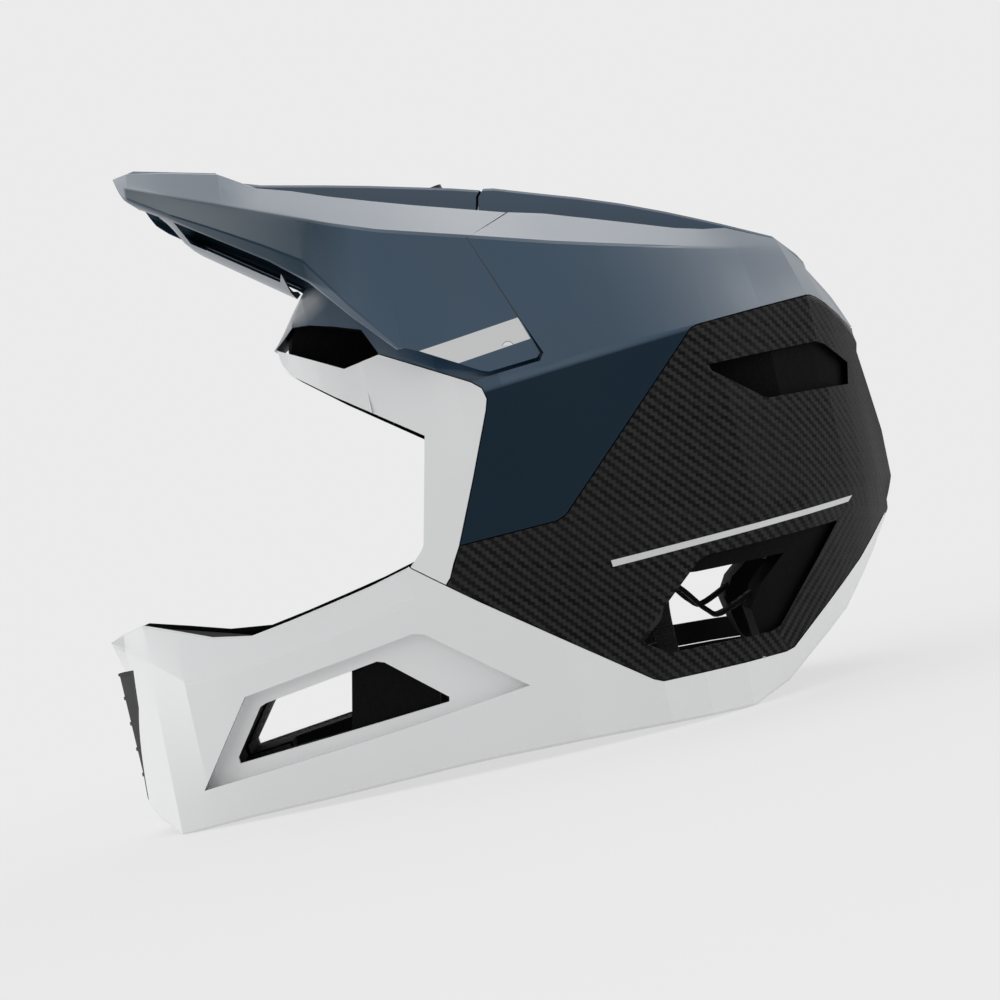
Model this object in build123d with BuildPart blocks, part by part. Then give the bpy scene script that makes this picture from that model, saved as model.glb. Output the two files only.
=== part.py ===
"""Full face helmet for downhill cycling, resting on a table on its chin bar and its rear rim.

The helmet faces -Y, the wearer's left side is +X and +Z is up. The outer form is a set of creases that run from front
to rear. Each crease is a list of (along, down, out) shares: along and down place a point in the side view, as shares
of side_view_width from its upper left corner, and out is its distance from the mid plane as a share of half_width.
"""

import math
import os

from build123d import *

# Side view in which the creases are drawn, and the viewpoint that it is seen from
side_view_width = 470.0
viewpoint_distance = 1250.0
view_centre_share = 0.5
rest_tilt = 13.6

# Shell
half_width = 118.0
shell_wall = 2.4
panel_gap = 0.5
groove_depth = 7.0
scoop_rise = 3.0
spine_lap_half_width = 13.0
least_half_width = 1.5
crease_flat = 1.2
crease_flat_limit_share = 0.25
overrun = 12.0
foot_cut = 0.6

# Visor
visor_wall = 3.0
visor_seam = 1.1
underplate_wall = 2.5
underplate_gap = 1.4
pivot_along_share = 0.508
pivot_down_share = 0.347
pivot_out_share = 0.86

visor_range = 6.0
slot_inner = 14.0
slot_outer = 38.0

# Visor fixings
stud_diameter = 5.0
stud_length = 14.0
stud_engagement = 1.6
stud_clearance = 0.2
stud_end = 98.5
screw_diameter = 5.0
screw_head_diameter = 15.0
screw_head_height = 3.6
screw_sink = 5.2
screw_slot_width = 1.6
screw_clearance = 0.3
nut_diameter = 8.0
nut_flange_diameter = 16.0
nut_flange_height = 1.5
nut_height = 7.0
nut_reach = 46.0

# Chin bar inserts
frame_sink = 5.2
frame_wall = 2.0
seat_gap = 0.3
mouth_vent_margin = 1.0
grille_bar = 1.6
grille_margin = 3.0
grille_depth = 4.0

# Liners and pads
liner_gap = 0.4
pad_gap = 0.4
chin_liner_wall = 20.0
cavity_half_width = 80.0
cavity_half_length = 103.0
comfort_thickness = 9.0
cheek_pad_thickness = 20.0
neck_roll_thickness = 14.0
liner_lift = 6.0
brow_channel_out = 28.0
rear_channel_out = 88.0

# Chin strap and its ratchet buckle
anchor_disc_wall = 2.0
anchor_disc_diameter = 20.0
post_diameter = 8.0
post_head_diameter = 12.0
post_head_height = 1.6
strap_clearance = 0.3
hanger_thickness = 2.0
hanger_diameter = 18.0
strap_width = 20.0
strap_thickness = 1.6
strap_slope = 38.0
strap_drop = 58.0
strap_bend = 6.0
buckle_top_out = 58.0
buckle_low_out = 24.0
ladder_start = -12.0
ladder_end = 12.0
ladder_tail = 6.0
ladder_top = 1.8
ladder_width = 14.0
tooth_pitch = 2.4
tooth_count = 9
tooth_height = 0.6
case_start = -18.0
case_length = 27.0
case_wall = 1.8
case_bar = 4.0
case_top = 7.4
pin_setback = 9.0
pin_height = 5.4
pin_diameter = 2.4
pin_clearance = 0.15
barrel_diameter = 5.2
lever_length = 26.0
lever_wall = 2.2
pawl_reach = 3.5
keeper_wall = 1.4
strap_pad_wall = 2.6

tilt = math.radians(rest_tilt)


def spot(along_share, down_share, out_share=0.0):
    """Half width, fore-aft place and height of a point of the side view, before the helmet is set on the table."""
    out = out_share * half_width
    reach = side_view_width * (1 - out / viewpoint_distance)
    y = (along_share - view_centre_share) * reach
    z = (view_centre_share - down_share) * reach
    return out, y * math.cos(tilt) + z * math.sin(tilt), z * math.cos(tilt) - y * math.sin(tilt)


chin_tip_shares = (0.1262, 0.711, 0.0)
rear_tip_shares = (0.890, 0.4725, 0.0)
front_foot_shares = (0.183, 0.836, 0.38)
fore_aft_middle = (spot(*chin_tip_shares)[1] + spot(*rear_tip_shares)[1]) / 2
table_height = spot(*front_foot_shares)[2] + foot_cut


def place(along_share, down_share, out_share=0.0):
    """The same point with the helmet on the table, its middle over the origin."""
    out, y, z = spot(along_share, down_share, out_share)
    return out, y - fore_aft_middle, z - table_height


def side_points(shares):
    """Side view outline as (fore-aft, height) points."""
    return [place(*share)[1:] for share in shares]


# Creases of the shell behind the visor, from front to rear
spine_shares = [
    (0.440, 0.190, 0.09),
    (0.495, 0.188, 0.09),
    (0.528, 0.192, 0.09),
    (0.600, 0.1995, 0.09),
    (0.659, 0.210, 0.085),
    (0.713, 0.2215, 0.07),
    (0.776, 0.237, 0.03),
    (0.806, 0.262, 0.02),
    (0.834, 0.298, 0.02),
    (0.856, 0.330, 0.02),
    (0.892, 0.430, 0.015),
]
band_shares = [
    (0.400, 0.206, 0.38),
    (0.508, 0.2124, 0.38),
    (0.544, 0.2135, 0.375),
    (0.600, 0.2185, 0.355),
    (0.685, 0.2284, 0.31),
    (0.700, 0.2284, 0.28),
    (0.720, 0.226, 0.19),
    (0.776, 0.2385, 0.08),
    (0.806, 0.264, 0.05),
    (0.834, 0.300, 0.04),
    (0.856, 0.332, 0.03),
    (0.892, 0.433, 0.02),
]
ridge_shares = [
    (0.380, 0.230, 0.64),
    (0.468, 0.2357, 0.68),
    (0.560, 0.242, 0.65),
    (0.600, 0.2435, 0.62),
    (0.694, 0.247, 0.50),
    (0.729, 0.2475, 0.42),
    (0.751, 0.2465, 0.33),
    (0.780, 0.246, 0.18),
    (0.808, 0.272, 0.14),
    (0.836, 0.306, 0.10),
    (0.857, 0.336, 0.06),
    (0.892, 0.436, 0.025),
]
side_shares = [
    (0.330, 0.345, 0.46),
    (0.3785, 0.354, 0.60),
    (0.430, 0.369, 0.73),
    (0.471, 0.382, 0.82),
    (0.520, 0.378, 0.885),
    (0.600, 0.350, 0.905),
    (0.691, 0.3275, 0.89),
    (0.760, 0.308, 0.79),
    (0.811, 0.294, 0.62),
    (0.836, 0.312, 0.42),
    (0.860, 0.345, 0.20),
    (0.893, 0.440, 0.03),
]
waist_shares = [
    (0.112, 0.643, 0.0),
    (0.189, 0.6865, 0.41),
    (0.245, 0.668, 0.52),
    (0.335, 0.634, 0.68),
    (0.412, 0.601, 0.79),
    (0.455, 0.587, 0.83),
    (0.560, 0.563, 0.92),
    (0.640, 0.541, 0.957),
    (0.700, 0.5245, 0.955),
    (0.761, 0.508, 0.90),
    (0.810, 0.495, 0.77),
    (0.845, 0.486, 0.58),
    (0.872, 0.479, 0.36),
    (0.892, 0.4725, 0.03),
]
hem_shares = [
    (0.150, 0.805, 0.0),
    (0.160, 0.818, 0.17),
    (0.183, 0.836, 0.38),
    (0.255, 0.817, 0.52),
    (0.340, 0.797, 0.64),
    (0.480, 0.762, 0.78),
    (0.588, 0.740, 0.84),
    (0.690, 0.7205, 0.83),
    (0.746, 0.7086, 0.75),
    (0.766, 0.703, 0.70),
    (0.783, 0.690, 0.64),
    (0.792, 0.677, 0.60),
    (0.820, 0.643, 0.48),
    (0.846, 0.610, 0.36),
    (0.870, 0.560, 0.22),
    (0.891, 0.500, 0.02),
]
rim_shares = [
    (0.112, 0.642, 0.0),
    (0.132, 0.629, 0.02),
    (0.143, 0.6255, 0.13),
    (0.236, 0.6416, 0.44),
    (0.271, 0.629, 0.50),
    (0.330, 0.604, 0.60),
    (0.385, 0.580, 0.71),
    (0.410, 0.5665, 0.755),
    (0.450, 0.545, 0.80),
]

# Creases of the dome that the visor covers
dome_spine_shares = [
    (0.2767, 0.350, 0.05),
    (0.300, 0.297, 0.09),
    (0.325, 0.262, 0.10),
    (0.355, 0.250, 0.10),
    (0.400, 0.247, 0.10),
    (0.560, 0.247, 0.10),
]
dome_ridge_shares = [
    (0.277, 0.3505, 0.12),
    (0.300, 0.300, 0.24),
    (0.335, 0.272, 0.36),
    (0.375, 0.261, 0.47),
    (0.430, 0.2575, 0.56),
    (0.470, 0.256, 0.60),
    (0.560, 0.258, 0.62),
]
dome_side_shares = [
    (0.277, 0.351, 0.17),
    (0.2925, 0.3274, 0.29),
    (0.335, 0.3265, 0.44),
    (0.3785, 0.352, 0.60),
    (0.440, 0.372, 0.75),
    (0.500, 0.375, 0.825),
    (0.560, 0.370, 0.845),
]
brow_shares = [
    (0.2772, 0.3525, 0.19),
    (0.2846, 0.373, 0.27),
    (0.333, 0.400, 0.50),
    (0.400, 0.440, 0.70),
    (0.424, 0.470, 0.775),
    (0.450, 0.545, 0.81),
    (0.560, 0.563, 0.90),
]

# Creases of the visor
visor_spine_shares = [
    (0.117, 0.1785, 0.09),
    (0.129, 0.171, 0.09),
    (0.217, 0.173, 0.09),
    (0.225, 0.182, 0.09),
    (0.229, 0.185, 0.09),
    (0.350, 0.185, 0.09),
    (0.483, 0.189, 0.09),
    (0.545, 0.196, 0.09),
]
visor_band_shares = [
    (0.117, 0.179, 0.34),
    (0.129, 0.1713, 0.35),
    (0.217, 0.1733, 0.37),
    (0.225, 0.1825, 0.375),
    (0.229, 0.1855, 0.375),
    (0.298, 0.191, 0.38),
    (0.335, 0.197, 0.38),
    (0.430, 0.206, 0.38),
    (0.545, 0.2145, 0.375),
]
visor_ridge_shares = [
    (0.117, 0.182, 0.40),
    (0.128, 0.186, 0.44),
    (0.158, 0.195, 0.49),
    (0.207, 0.204, 0.54),
    (0.255, 0.212, 0.58),
    (0.300, 0.219, 0.61),
    (0.360, 0.229, 0.64),
    (0.430, 0.2335, 0.665),
    (0.468, 0.2357, 0.68),
    (0.560, 0.242, 0.65),
]
visor_edge_shares = [
    (0.119, 0.192, 0.46),
    (0.128, 0.200, 0.55),
    (0.158, 0.212, 0.66),
    (0.180, 0.218, 0.70),
    (0.230, 0.2345, 0.77),
    (0.299, 0.258, 0.815),
    (0.330, 0.286, 0.83),
    (0.376, 0.332, 0.85),
    (0.392, 0.346, 0.855),
    (0.430, 0.365, 0.862),
    (0.484, 0.382, 0.878),
    (0.560, 0.373, 0.893),
]
visor_flange_shares = [
    (0.120, 0.196, 0.40),
    (0.128, 0.205, 0.48),
    (0.158, 0.216, 0.58),
    (0.180, 0.224, 0.62),
    (0.296, 0.272, 0.735),
    (0.308, 0.282, 0.75),
    (0.321, 0.291, 0.765),
    (0.376, 0.338, 0.82),
    (0.400, 0.353, 0.84),
    (0.430, 0.368, 0.855),
    (0.484, 0.384, 0.872),
    (0.560, 0.375, 0.887),
]
underplate_keel_shares = [
    (0.170, 0.226, 0.16),
    (0.180, 0.240, 0.16),
    (0.190, 0.247, 0.16),
    (0.291, 0.2932, 0.16),
]

# Side view outlines
body_outline_shares = [
    (0.112, 0.6425),
    (0.132, 0.629),
    (0.143, 0.6255),
    (0.160, 0.560),
    (0.2767, 0.350),
    (0.300, 0.297),
    (0.330, 0.150),
    (0.495, 0.188),
    (0.528, 0.192),
    (0.600, 0.1995),
    (0.659, 0.210),
    (0.713, 0.2215),
    (0.7755, 0.2365),
    (0.780, 0.2385),
    (0.803, 0.2626),
    (0.8024, 0.2714),
    (0.830, 0.2985),
    (0.850, 0.3275),
    (0.848, 0.355),
    (0.882, 0.440),
    (0.8898, 0.4725),
    (0.8837, 0.499),
    (0.8868, 0.512),
    (0.884, 0.521),
    (0.859, 0.594),
    (0.840, 0.760),
    (0.183, 0.860),
    (0.158, 0.815),
    (0.150, 0.805),
    (0.126, 0.7115),
    (0.1285, 0.6715),
]
visor_outline_shares = [
    (0.117, 0.180, 0.09),
    (0.129, 0.171, 0.09),
    (0.200, 0.120, 0.09),
    (0.5065, 0.120, 0.38),
    (0.5065, 0.2124, 0.38),
    (0.467, 0.238, 0.68),
    (0.522, 0.320, 0.86),
    (0.540, 0.352, 0.885),
    (0.537, 0.357, 0.885),
    (0.489, 0.3715, 0.875),
    (0.480, 0.3700, 0.875),
    (0.458, 0.363, 0.87),
    (0.420, 0.351, 0.86),
    (0.405, 0.3475, 0.855),
    (0.385, 0.352, 0.83),
    (0.321, 0.302, 0.765),
    (0.296, 0.282, 0.735),
    (0.180, 0.234, 0.62),
    (0.128, 0.2035, 0.40),
    (0.122, 0.196, 0.40),
]
seam_shares = [
    (0.508, 0.2124, 0.38),
    (0.467, 0.238, 0.68),
    (0.522, 0.320, 0.86),
    (0.5435, 0.352, 0.885),
    (0.540, 0.3605, 0.885),
    (0.489, 0.3755, 0.875),
    (0.471, 0.382, 0.81),
    (0.3785, 0.354, 0.60),
]
frame_port_shares = [
    (0.2767, 0.3505, 0.17),
    (0.2846, 0.373, 0.27),
    (0.333, 0.3966, 0.50),
    (0.424, 0.436, 0.73),
    (0.423, 0.545, 0.76),
    (0.4204, 0.5517, 0.76),
    (0.410, 0.567, 0.755),
    (0.4115, 0.5685, 0.76),
    (0.446, 0.5855, 0.82),
]
frame_rear_shares = [
    (0.4505, 0.578, 0.82),
    (0.4536, 0.5645, 0.82),
    (0.4594, 0.546, 0.825),
    (0.473, 0.480, 0.83),
    (0.486, 0.4105, 0.85),
    (0.487, 0.3986, 0.85),
    (0.482, 0.388, 0.83),
    (0.471, 0.382, 0.81),
    (0.3785, 0.354, 0.60),
    (0.344, 0.3684, 0.50),
    (0.2767, 0.3505, 0.17),
]
rim_zone_shares = [
    (0.080, 0.630, 0.0),
    (0.132, 0.615, 0.0),
    (0.200, 0.615, 0.3),
    (0.271, 0.615, 0.50),
    (0.398, 0.561, 0.74),
    (0.410, 0.567, 0.755),
    (0.4115, 0.5685, 0.76),
    (0.446, 0.5855, 0.82),
]
panel_top_shares = [
    (0.4505, 0.578, 0.82),
    (0.4594, 0.546, 0.825),
    (0.557, 0.521, 0.92),
    (0.566, 0.515, 0.92),
    (0.691, 0.3275, 0.89),
    (0.698, 0.324, 0.88),
    (0.811, 0.294, 0.62),
    (0.817, 0.296, 0.58),
    (0.850, 0.3275, 0.10),
]
panel_bottom_shares = [
    (0.446, 0.5855, 0.82),
    (0.480, 0.602, 0.86),
    (0.655, 0.680, 0.92),
    (0.665, 0.682, 0.92),
    (0.789, 0.652, 0.72),
    (0.797, 0.648, 0.70),
    (0.860, 0.557, 0.30),
    (0.8815, 0.514, 0.05),
]
brow_vent_shares = [
    (0.2767, 0.350, 0.17),
    (0.2925, 0.3274, 0.29),
    (0.309, 0.325, 0.36),
    (0.335, 0.3265, 0.44),
    (0.3607, 0.3294, 0.53),
    (0.3785, 0.3535, 0.60),
    (0.344, 0.3684, 0.50),
]
upper_vent_shares = [
    (0.709, 0.364, 0.90),
    (0.712, 0.370, 0.90),
    (0.766, 0.396, 0.88),
    (0.770, 0.397, 0.87),
    (0.851, 0.383, 0.50),
    (0.848, 0.362, 0.40),
    (0.824, 0.344, 0.55),
    (0.816, 0.341, 0.62),
]
lower_vent_shares = [
    (0.642, 0.639, 0.93),
    (0.700, 0.560, 0.955),
    (0.709, 0.555, 0.955),
    (0.840, 0.520, 0.62),
    (0.783, 0.626, 0.76),
    (0.773, 0.632, 0.78),
    (0.671, 0.654, 0.93),
    (0.644, 0.643, 0.93),
]
port_corner_shares = (0.42, 0.55, 0.0)
scoop_end_shares = (0.548, 0.213, 0.38)
spine_lap_shares = [(0.4785, 0.235), (0.4785, 0.200), (0.4855, 0.187), (0.4855, 0.1), (0.53, 0.1), (0.53, 0.235)]
screw_shares = (0.425, 0.189, 0.0)
underplate_place_shares = [0.0, 0.10, 0.17, 0.24, 0.5, 0.75, 1.0]
underplate_window_shares = [(0.176, 0.2225, 0.4), (0.290, 0.2713, 0.4), (0.278, 0.2803, 0.4), (0.186, 0.240, 0.4)]
visor_slot_shares = [(0.372, 0.38), (0.475, 0.36)]
mouth_recess_shares = [
    (0.204, 0.7915, 0.44),
    (0.245, 0.697, 0.51),
    (0.413, 0.634, 0.79),
    (0.425, 0.635, 0.80),
    (0.530, 0.6855, 0.84),
    (0.400, 0.731, 0.74),
]
mouth_vent_shares = [
    (0.237, 0.759, 0.49),
    (0.259, 0.708, 0.53),
    (0.265, 0.704, 0.54),
    (0.376, 0.6625, 0.73),
    (0.384, 0.6635, 0.74),
    (0.449, 0.698, 0.80),
    (0.449, 0.703, 0.80),
    (0.239, 0.765, 0.49),
]

mouth_way_shares = [(0.18, 0.60, 0.80), (0.349, 0.60, 0.80), (0.349, 0.85, 0.80), (0.18, 0.85, 0.80)]

liner_zone_shares = [
    (0.290, 0.358, 0.15),
    (0.345, 0.391, 0.40),
    (0.434, 0.427, 0.65),
    (0.434, 0.560, 0.70),
    (0.455, 0.600, 0.75),
    (0.455, 0.634, 0.75),
    (0.535, 0.674, 0.80),
    (0.565, 0.600, 0.80),
    (0.640, 0.577, 0.80),
    (0.695, 0.571, 0.80),
    (0.786, 0.553, 0.80),
    (0.760, 0.586, 0.80),
    (0.752, 0.610, 0.80),
    (0.765, 0.645, 0.75),
    (0.785, 0.668, 0.60),
    (0.832, 0.600, 0.30),
    (0.866, 0.530, 0.0),
    (0.876, 0.490, 0.0),
    (0.960, 0.440, 0.0),
    (0.960, 0.100, 0.0),
    (0.290, 0.100, 0.0),
]
cheek_pad_shares = [
    (0.435, 0.470, 0.55),
    (0.590, 0.470, 0.55),
    (0.600, 0.540, 0.55),
    (0.560, 0.605, 0.55),
    (0.515, 0.635, 0.55),
    (0.480, 0.695, 0.55),
    (0.440, 0.690, 0.55),
    (0.435, 0.570, 0.55),
]
head_band_shares = [(0.450, 0.415), (0.95, 0.415), (0.95, 0.462), (0.450, 0.462)]
comfort_shares = [(0.2, 0.20), (0.95, 0.20), (0.95, 0.410), (0.40, 0.410), (0.345, 0.385), (0.2, 0.36)]
neck_roll_shares = [(0.640, 0.500), (0.95, 0.480), (0.95, 0.560), (0.640, 0.563)]
front_vent_shares = [(0.1285, 0.6715, 0.11), (0.126, 0.7115, 0.12), (0.150, 0.800, 0.035)]

chin_liner_shares = [
    (0.080, 0.640, 0.0),
    (0.150, 0.629, 0.05),
    (0.236, 0.645, 0.40),
    (0.246, 0.6445, 0.42),
    (0.271, 0.633, 0.50),
    (0.400, 0.577, 0.70),
    (0.440, 0.597, 0.75),
    (0.440, 0.755, 0.75),
    (0.183, 0.818, 0.38),
    (0.080, 0.818, 0.0),
]
grille_bar_shares = [0.2, 0.4, 0.6, 0.8]
anchor_shares = (0.640, 0.610, 0.90)
strap_knee_share = 0.12
buckle_top_share = 0.60
buckle_low_share = 0.96
keeper_shares = (0.75, 0.45)
strap_pad_shares = (0.30, -0.90)

# Head cavity in level slices: height in the side view, then width and length as shares of the cavity's
cavity_middle_share = 0.568
cavity_slice_shares = [
    (0.900, 0.93, 0.82),
    (0.700, 0.96, 0.86),
    (0.600, 1.0, 0.93),
    (0.500, 1.0, 1.0),
    (0.430, 1.0, 1.0),
    (0.360, 0.93, 0.94),
    (0.310, 0.73, 0.75),
    (0.284, 0.38, 0.40),
]

# Stations along the helmet, as shares of its half length
half_length = (spot(*rear_tip_shares)[1] - spot(*chin_tip_shares)[1]) / 2
joint_station_share = -0.21
chin_station_shares = [-0.996, -0.96, -0.90, -0.81, -0.72, -0.62, -0.52, -0.41, -0.31]
body_station_shares = [
    -0.11, 0.0, 0.10, 0.20, 0.296, 0.302, 0.40, 0.50, 0.60, 0.67, 0.73, 0.79, 0.85, 0.90, 0.94, 0.97, 0.996,
]
dome_station_shares = [-0.422, -0.39, -0.36, -0.32, -0.27, -0.20, -0.12, -0.04, 0.05, 0.14, 0.25]
visor_station_shares = [
    -0.74, -0.71, -0.66, -0.56, -0.48, -0.462, -0.445, -0.36, -0.28, -0.20, -0.10, 0.0, 0.10, 0.24,
]


def crease_at(shares, y):
    """Half width and height where a crease crosses the station at y."""
    points = [place(*share) for share in shares]
    if y <= points[0][1]:
        return points[0][0], points[0][2]
    for near, far in zip(points, points[1:]):
        if y <= far[1]:
            part_way = (y - near[1]) / (far[1] - near[1])
            return near[0] + part_way * (far[0] - near[0]), near[2] + part_way * (far[2] - near[2])
    return points[-1][0], points[-1][2]


def inset_outline(points, depth):
    """Closed counterclockwise outline with every side moved inwards by depth, corner for corner."""
    if depth == 0:
        return points
    moved = []
    for before, here, after in zip(points[-1:] + points[:-1], points, points[1:] + points[:1]):
        first = math.atan2(here[1] - before[1], here[0] - before[0])
        second = math.atan2(after[1] - here[1], after[0] - here[0])
        turn = (second - first + math.pi) % (2 * math.pi) - math.pi
        bisector = first + turn / 2 + math.pi / 2
        stretch = depth / max(math.cos(turn / 2), 0.4)
        moved.append((here[0] + stretch * math.cos(bisector), here[1] + stretch * math.sin(bisector)))
    return moved


def grooved(creases, y, rise=0.0):
    """Corners of a cross-section's left half from bottom to top, with the groove beside the spine.

    Where rise is given, the floor beside the spine lies that far above the band's edge instead of below it.
    """
    corners = [crease_at(shares, y) for shares in creases]
    band, spine = corners[-2:]
    room = max(band[0] - spine[0], least_half_width / 2)
    depth = -rise if rise else groove_depth * min(room / groove_depth / 2, 1)
    groove = (spine[0] + min(groove_depth / 4, room / 2), band[1] - depth)
    return corners[:-1] + [groove, spine]


def body_section(y):
    """Cross-section of the shell behind the eye port."""
    scoop_end = place(*scoop_end_shares)[1]
    creases = [hem_shares, waist_shares, side_shares, ridge_shares, band_shares, spine_shares]
    return grooved(creases, y, scoop_rise if y < scoop_end else 0.0)


def hollow_section(y):
    """Cross-section that the hollow of the shell follows, without the groove."""
    hem, waist, side, ridge, band, spine = [
        crease_at(shares, y)
        for shares in (hem_shares, waist_shares, side_shares, ridge_shares, band_shares, spine_shares)
    ]
    return [hem, waist, side, ridge, (spine[0], band[1] - min(groove_depth, band[0] / 4))]


def chin_section(y):
    """Cross-section of the chin bar, from hem to rim."""
    return [crease_at(shares, y) for shares in (hem_shares, waist_shares, rim_shares)]


def dome_section(y):
    """Cross-section of the dome under the visor, from the brow to its spine."""
    return [
        crease_at(shares, y)
        for shares in (brow_shares, dome_side_shares, dome_ridge_shares, dome_spine_shares)
    ]


def visor_section(y):
    """Cross-section of the visor, from the flange under its edge to its spine."""
    creases = [visor_flange_shares, visor_edge_shares, visor_ridge_shares, visor_band_shares, visor_spine_shares]
    return grooved(creases, y)


def visor_hollow_section(y):
    """Cross-section that the underside of the visor follows."""
    flange, ridge, band, spine = [
        crease_at(shares, y)
        for shares in (visor_flange_shares, visor_ridge_shares, visor_band_shares, visor_spine_shares)
    ]
    return [(flange[0] + visor_wall, flange[1]), ridge, band, (spine[0], band[1] - groove_depth)]


def underplate_section(y):
    """Cross-section of the plate under the visor, from its keel out to the flange and back inside."""
    keel = crease_at(underplate_keel_shares, y)
    flange = crease_at(visor_flange_shares, y)
    inner_corner = inset_outline(closed(visor_hollow_section(y)), visor_wall)[0]
    rest = (inner_corner[0] - underplate_gap, flange[1])
    return [keel, rest, (rest[0], rest[1] + underplate_wall), (keel[0], keel[1] + underplate_wall)]


def closed(corners):
    """Counterclockwise outline from the corners of its left half, which run from bottom to top."""
    count = len(corners)
    apart = [
        (max(out, least_half_width * (1 + (count - rank) / count)), z)
        for rank, (out, z) in enumerate(corners)
    ]
    return apart + [(-out, z) for out, z in reversed(apart)]


def softened(outline):
    """Closed outline with a narrow flat across each corner, which softens the crease there."""
    cut = []
    for before, here, after in zip(outline[-1:] + outline[:-1], outline, outline[1:] + outline[:1]):
        for other in (before, after):
            part_way = min(crease_flat / math.dist(here, other), crease_flat_limit_share)
            cut.append((here[0] + (other[0] - here[0]) * part_way, here[1] + (other[1] - here[1]) * part_way))
    return cut


def form(section, station_shares, inset=0.0, below=0.0, above=0.0):
    """Solid through the cross-sections at the stations, inset all round and carried on below and above."""
    with BuildPart() as made:
        for share in station_shares:
            y = share * half_length
            outline = inset_outline(closed(section(y)), inset)
            half = outline[: len(outline) // 2]
            if below:
                half = [(half[0][0], half[0][1] - below)] + half
            if above:
                half = half + [(half[-1][0], half[-1][1] + above)]
            whole = half + [(-out, z) for out, z in reversed(half)]
            with BuildSketch(Plane.XZ.offset(-y * (half_length - inset) / half_length)):
                with BuildLine():
                    Polyline(*(whole if inset else softened(whole)), close=True)
                make_face()
        loft(ruled=True)
    return made.part


def prism(points, grow=0.0, near=0.0):
    """Side view outline carried through the whole width, or only beyond near on both sides."""
    with BuildPart() as made:
        with BuildSketch(Plane.YZ.offset(near)):
            with BuildLine():
                Polyline(*points, close=True)
            make_face()
            if grow:
                offset(amount=grow, kind=Kind.INTERSECTION)
        if near:
            extrude(amount=half_width)
            mirror(about=Plane.YZ)
        else:
            extrude(amount=half_width + overrun, both=True)
    return made.part


def chin_form(inset):
    """Inside of the chin bar, inset below its outer face and open above and below."""
    station_shares = [
        share for share in chin_station_shares[1:] if crease_at(rim_shares, share * half_length)[0] > 1.2 * inset
    ]
    return form(chin_section, station_shares + [joint_station_share], inset, 2 * overrun, 2 * overrun)


def side_form(inset):
    """Inside of the shell's sides, inset below its outer face, from the chin bar back past the joint."""
    with BuildPart() as made:
        add(chin_form(inset))
        add(form(hollow_section, [joint_station_share] + body_station_shares[:4], inset, below=2 * overrun))
    return made.part


def front_opening(grow):
    """The front vent's outline carried rearwards through the chin bar."""
    with BuildPart() as made:
        with BuildSketch(Plane.XZ.offset(half_length / 2)):
            with BuildLine():
                Polyline(*front_vent, *[(-out, z) for out, z in reversed(front_vent)], close=True)
            make_face()
            if grow:
                offset(amount=grow, kind=Kind.INTERSECTION)
        extrude(amount=half_length)
    return made.part


def spine_lap(inset=0.0, seam=0.0):
    """Room of the shell's spine where it reaches forward between the visor's bands."""
    with BuildPart() as made:
        with BuildSketch(Plane.YZ):
            with BuildLine():
                Polyline(*side_points(spine_lap_shares), close=True)
            make_face()
            if seam != inset:
                offset(amount=seam - inset, kind=Kind.INTERSECTION)
        extrude(amount=spine_lap_half_width + seam - inset, both=True)
    return made.part


def shell_form(inset=0.0):
    """The whole outer form of the shell, or the hollow that lies inset below it."""
    reach = 2 * overrun if inset else 0.0
    trim = slice(1, None) if inset else slice(None)
    body = form(
        hollow_section if inset else body_section,
        [joint_station_share] + (body_station_shares[:-2] if inset else body_station_shares),
        inset,
        below=reach,
    )
    dome = form(dome_section, dome_station_shares[trim], inset, below=reach)
    chin = form(chin_section, chin_station_shares[trim] + [joint_station_share], inset, reach, reach)
    with BuildPart() as covering:
        add(prism(dome_zone, grow=inset))
        add(spine_lap(inset), mode=Mode.SUBTRACT)
    zone = covering.part
    with BuildPart() as covered:
        add(dome)
        add(zone, mode=Mode.INTERSECT)
    with BuildPart() as whole:
        add(body)
        add(zone, mode=Mode.SUBTRACT)
        add(covered.part)
        add(chin)
    return whole.part


def cavity(inset=0.0):
    """The room for the head, in level slices, narrower all round by inset."""
    with BuildPart() as made:
        for down_share, width_share, length_share in cavity_slice_shares:
            _, y, z = place(cavity_middle_share, down_share)
            level = Plane(
                origin=(0, y, z), x_dir=(1, 0, 0), z_dir=(0, math.sin(tilt), math.cos(tilt))
            )
            with BuildSketch(level.offset(-inset)):
                Ellipse(
                    cavity_half_width * width_share - inset, cavity_half_length * length_share - inset
                )
        loft()
    return made.part


def finish(part, name):
    """Label a piece and write it."""
    part.label = name
    export_step(part, f"parts/{name}.step")


os.makedirs("parts", exist_ok=True)

# Zones of the side view
far_share = 1.06
near_share = -0.06
joint_y = joint_station_share * half_length
seam = side_points(seam_shares)
room_below = place(0.5, far_share)[2]
room_above = place(0.5, near_share)[2]
room_behind = half_length + overrun
room_ahead = -half_length - overrun
port_bottom = place(*port_corner_shares)[2]
dome_zone = seam + [
    (joint_y, seam[-1][1]),
    (joint_y, port_bottom),
    (room_ahead, port_bottom),
    (room_ahead, room_above),
    (seam[0][0], room_above),
]
panel_top = side_points(panel_top_shares)
panel_bottom = side_points(panel_bottom_shares)
frame_rear = side_points(frame_rear_shares)
frame_zone = side_points(frame_port_shares) + frame_rear
crown_zone = (
    list(reversed(frame_rear[2:]))
    + panel_top[2:]
    + [(room_behind, panel_top[-1][1]), (room_behind, room_above), (room_ahead, room_above)]
    + [(room_ahead, frame_rear[-1][1])]
)
panel_zone = (
    panel_top
    + [(room_behind, panel_top[-1][1]), (room_behind, panel_bottom[-1][1])]
    + list(reversed(panel_bottom))
)
lower_zone = (
    side_points(rim_zone_shares)
    + panel_bottom[1:]
    + [(room_behind, panel_bottom[-1][1]), (room_behind, -overrun), (room_ahead, -overrun)]
    + [(room_ahead, place(*rim_zone_shares[0])[2])]
)
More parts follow.
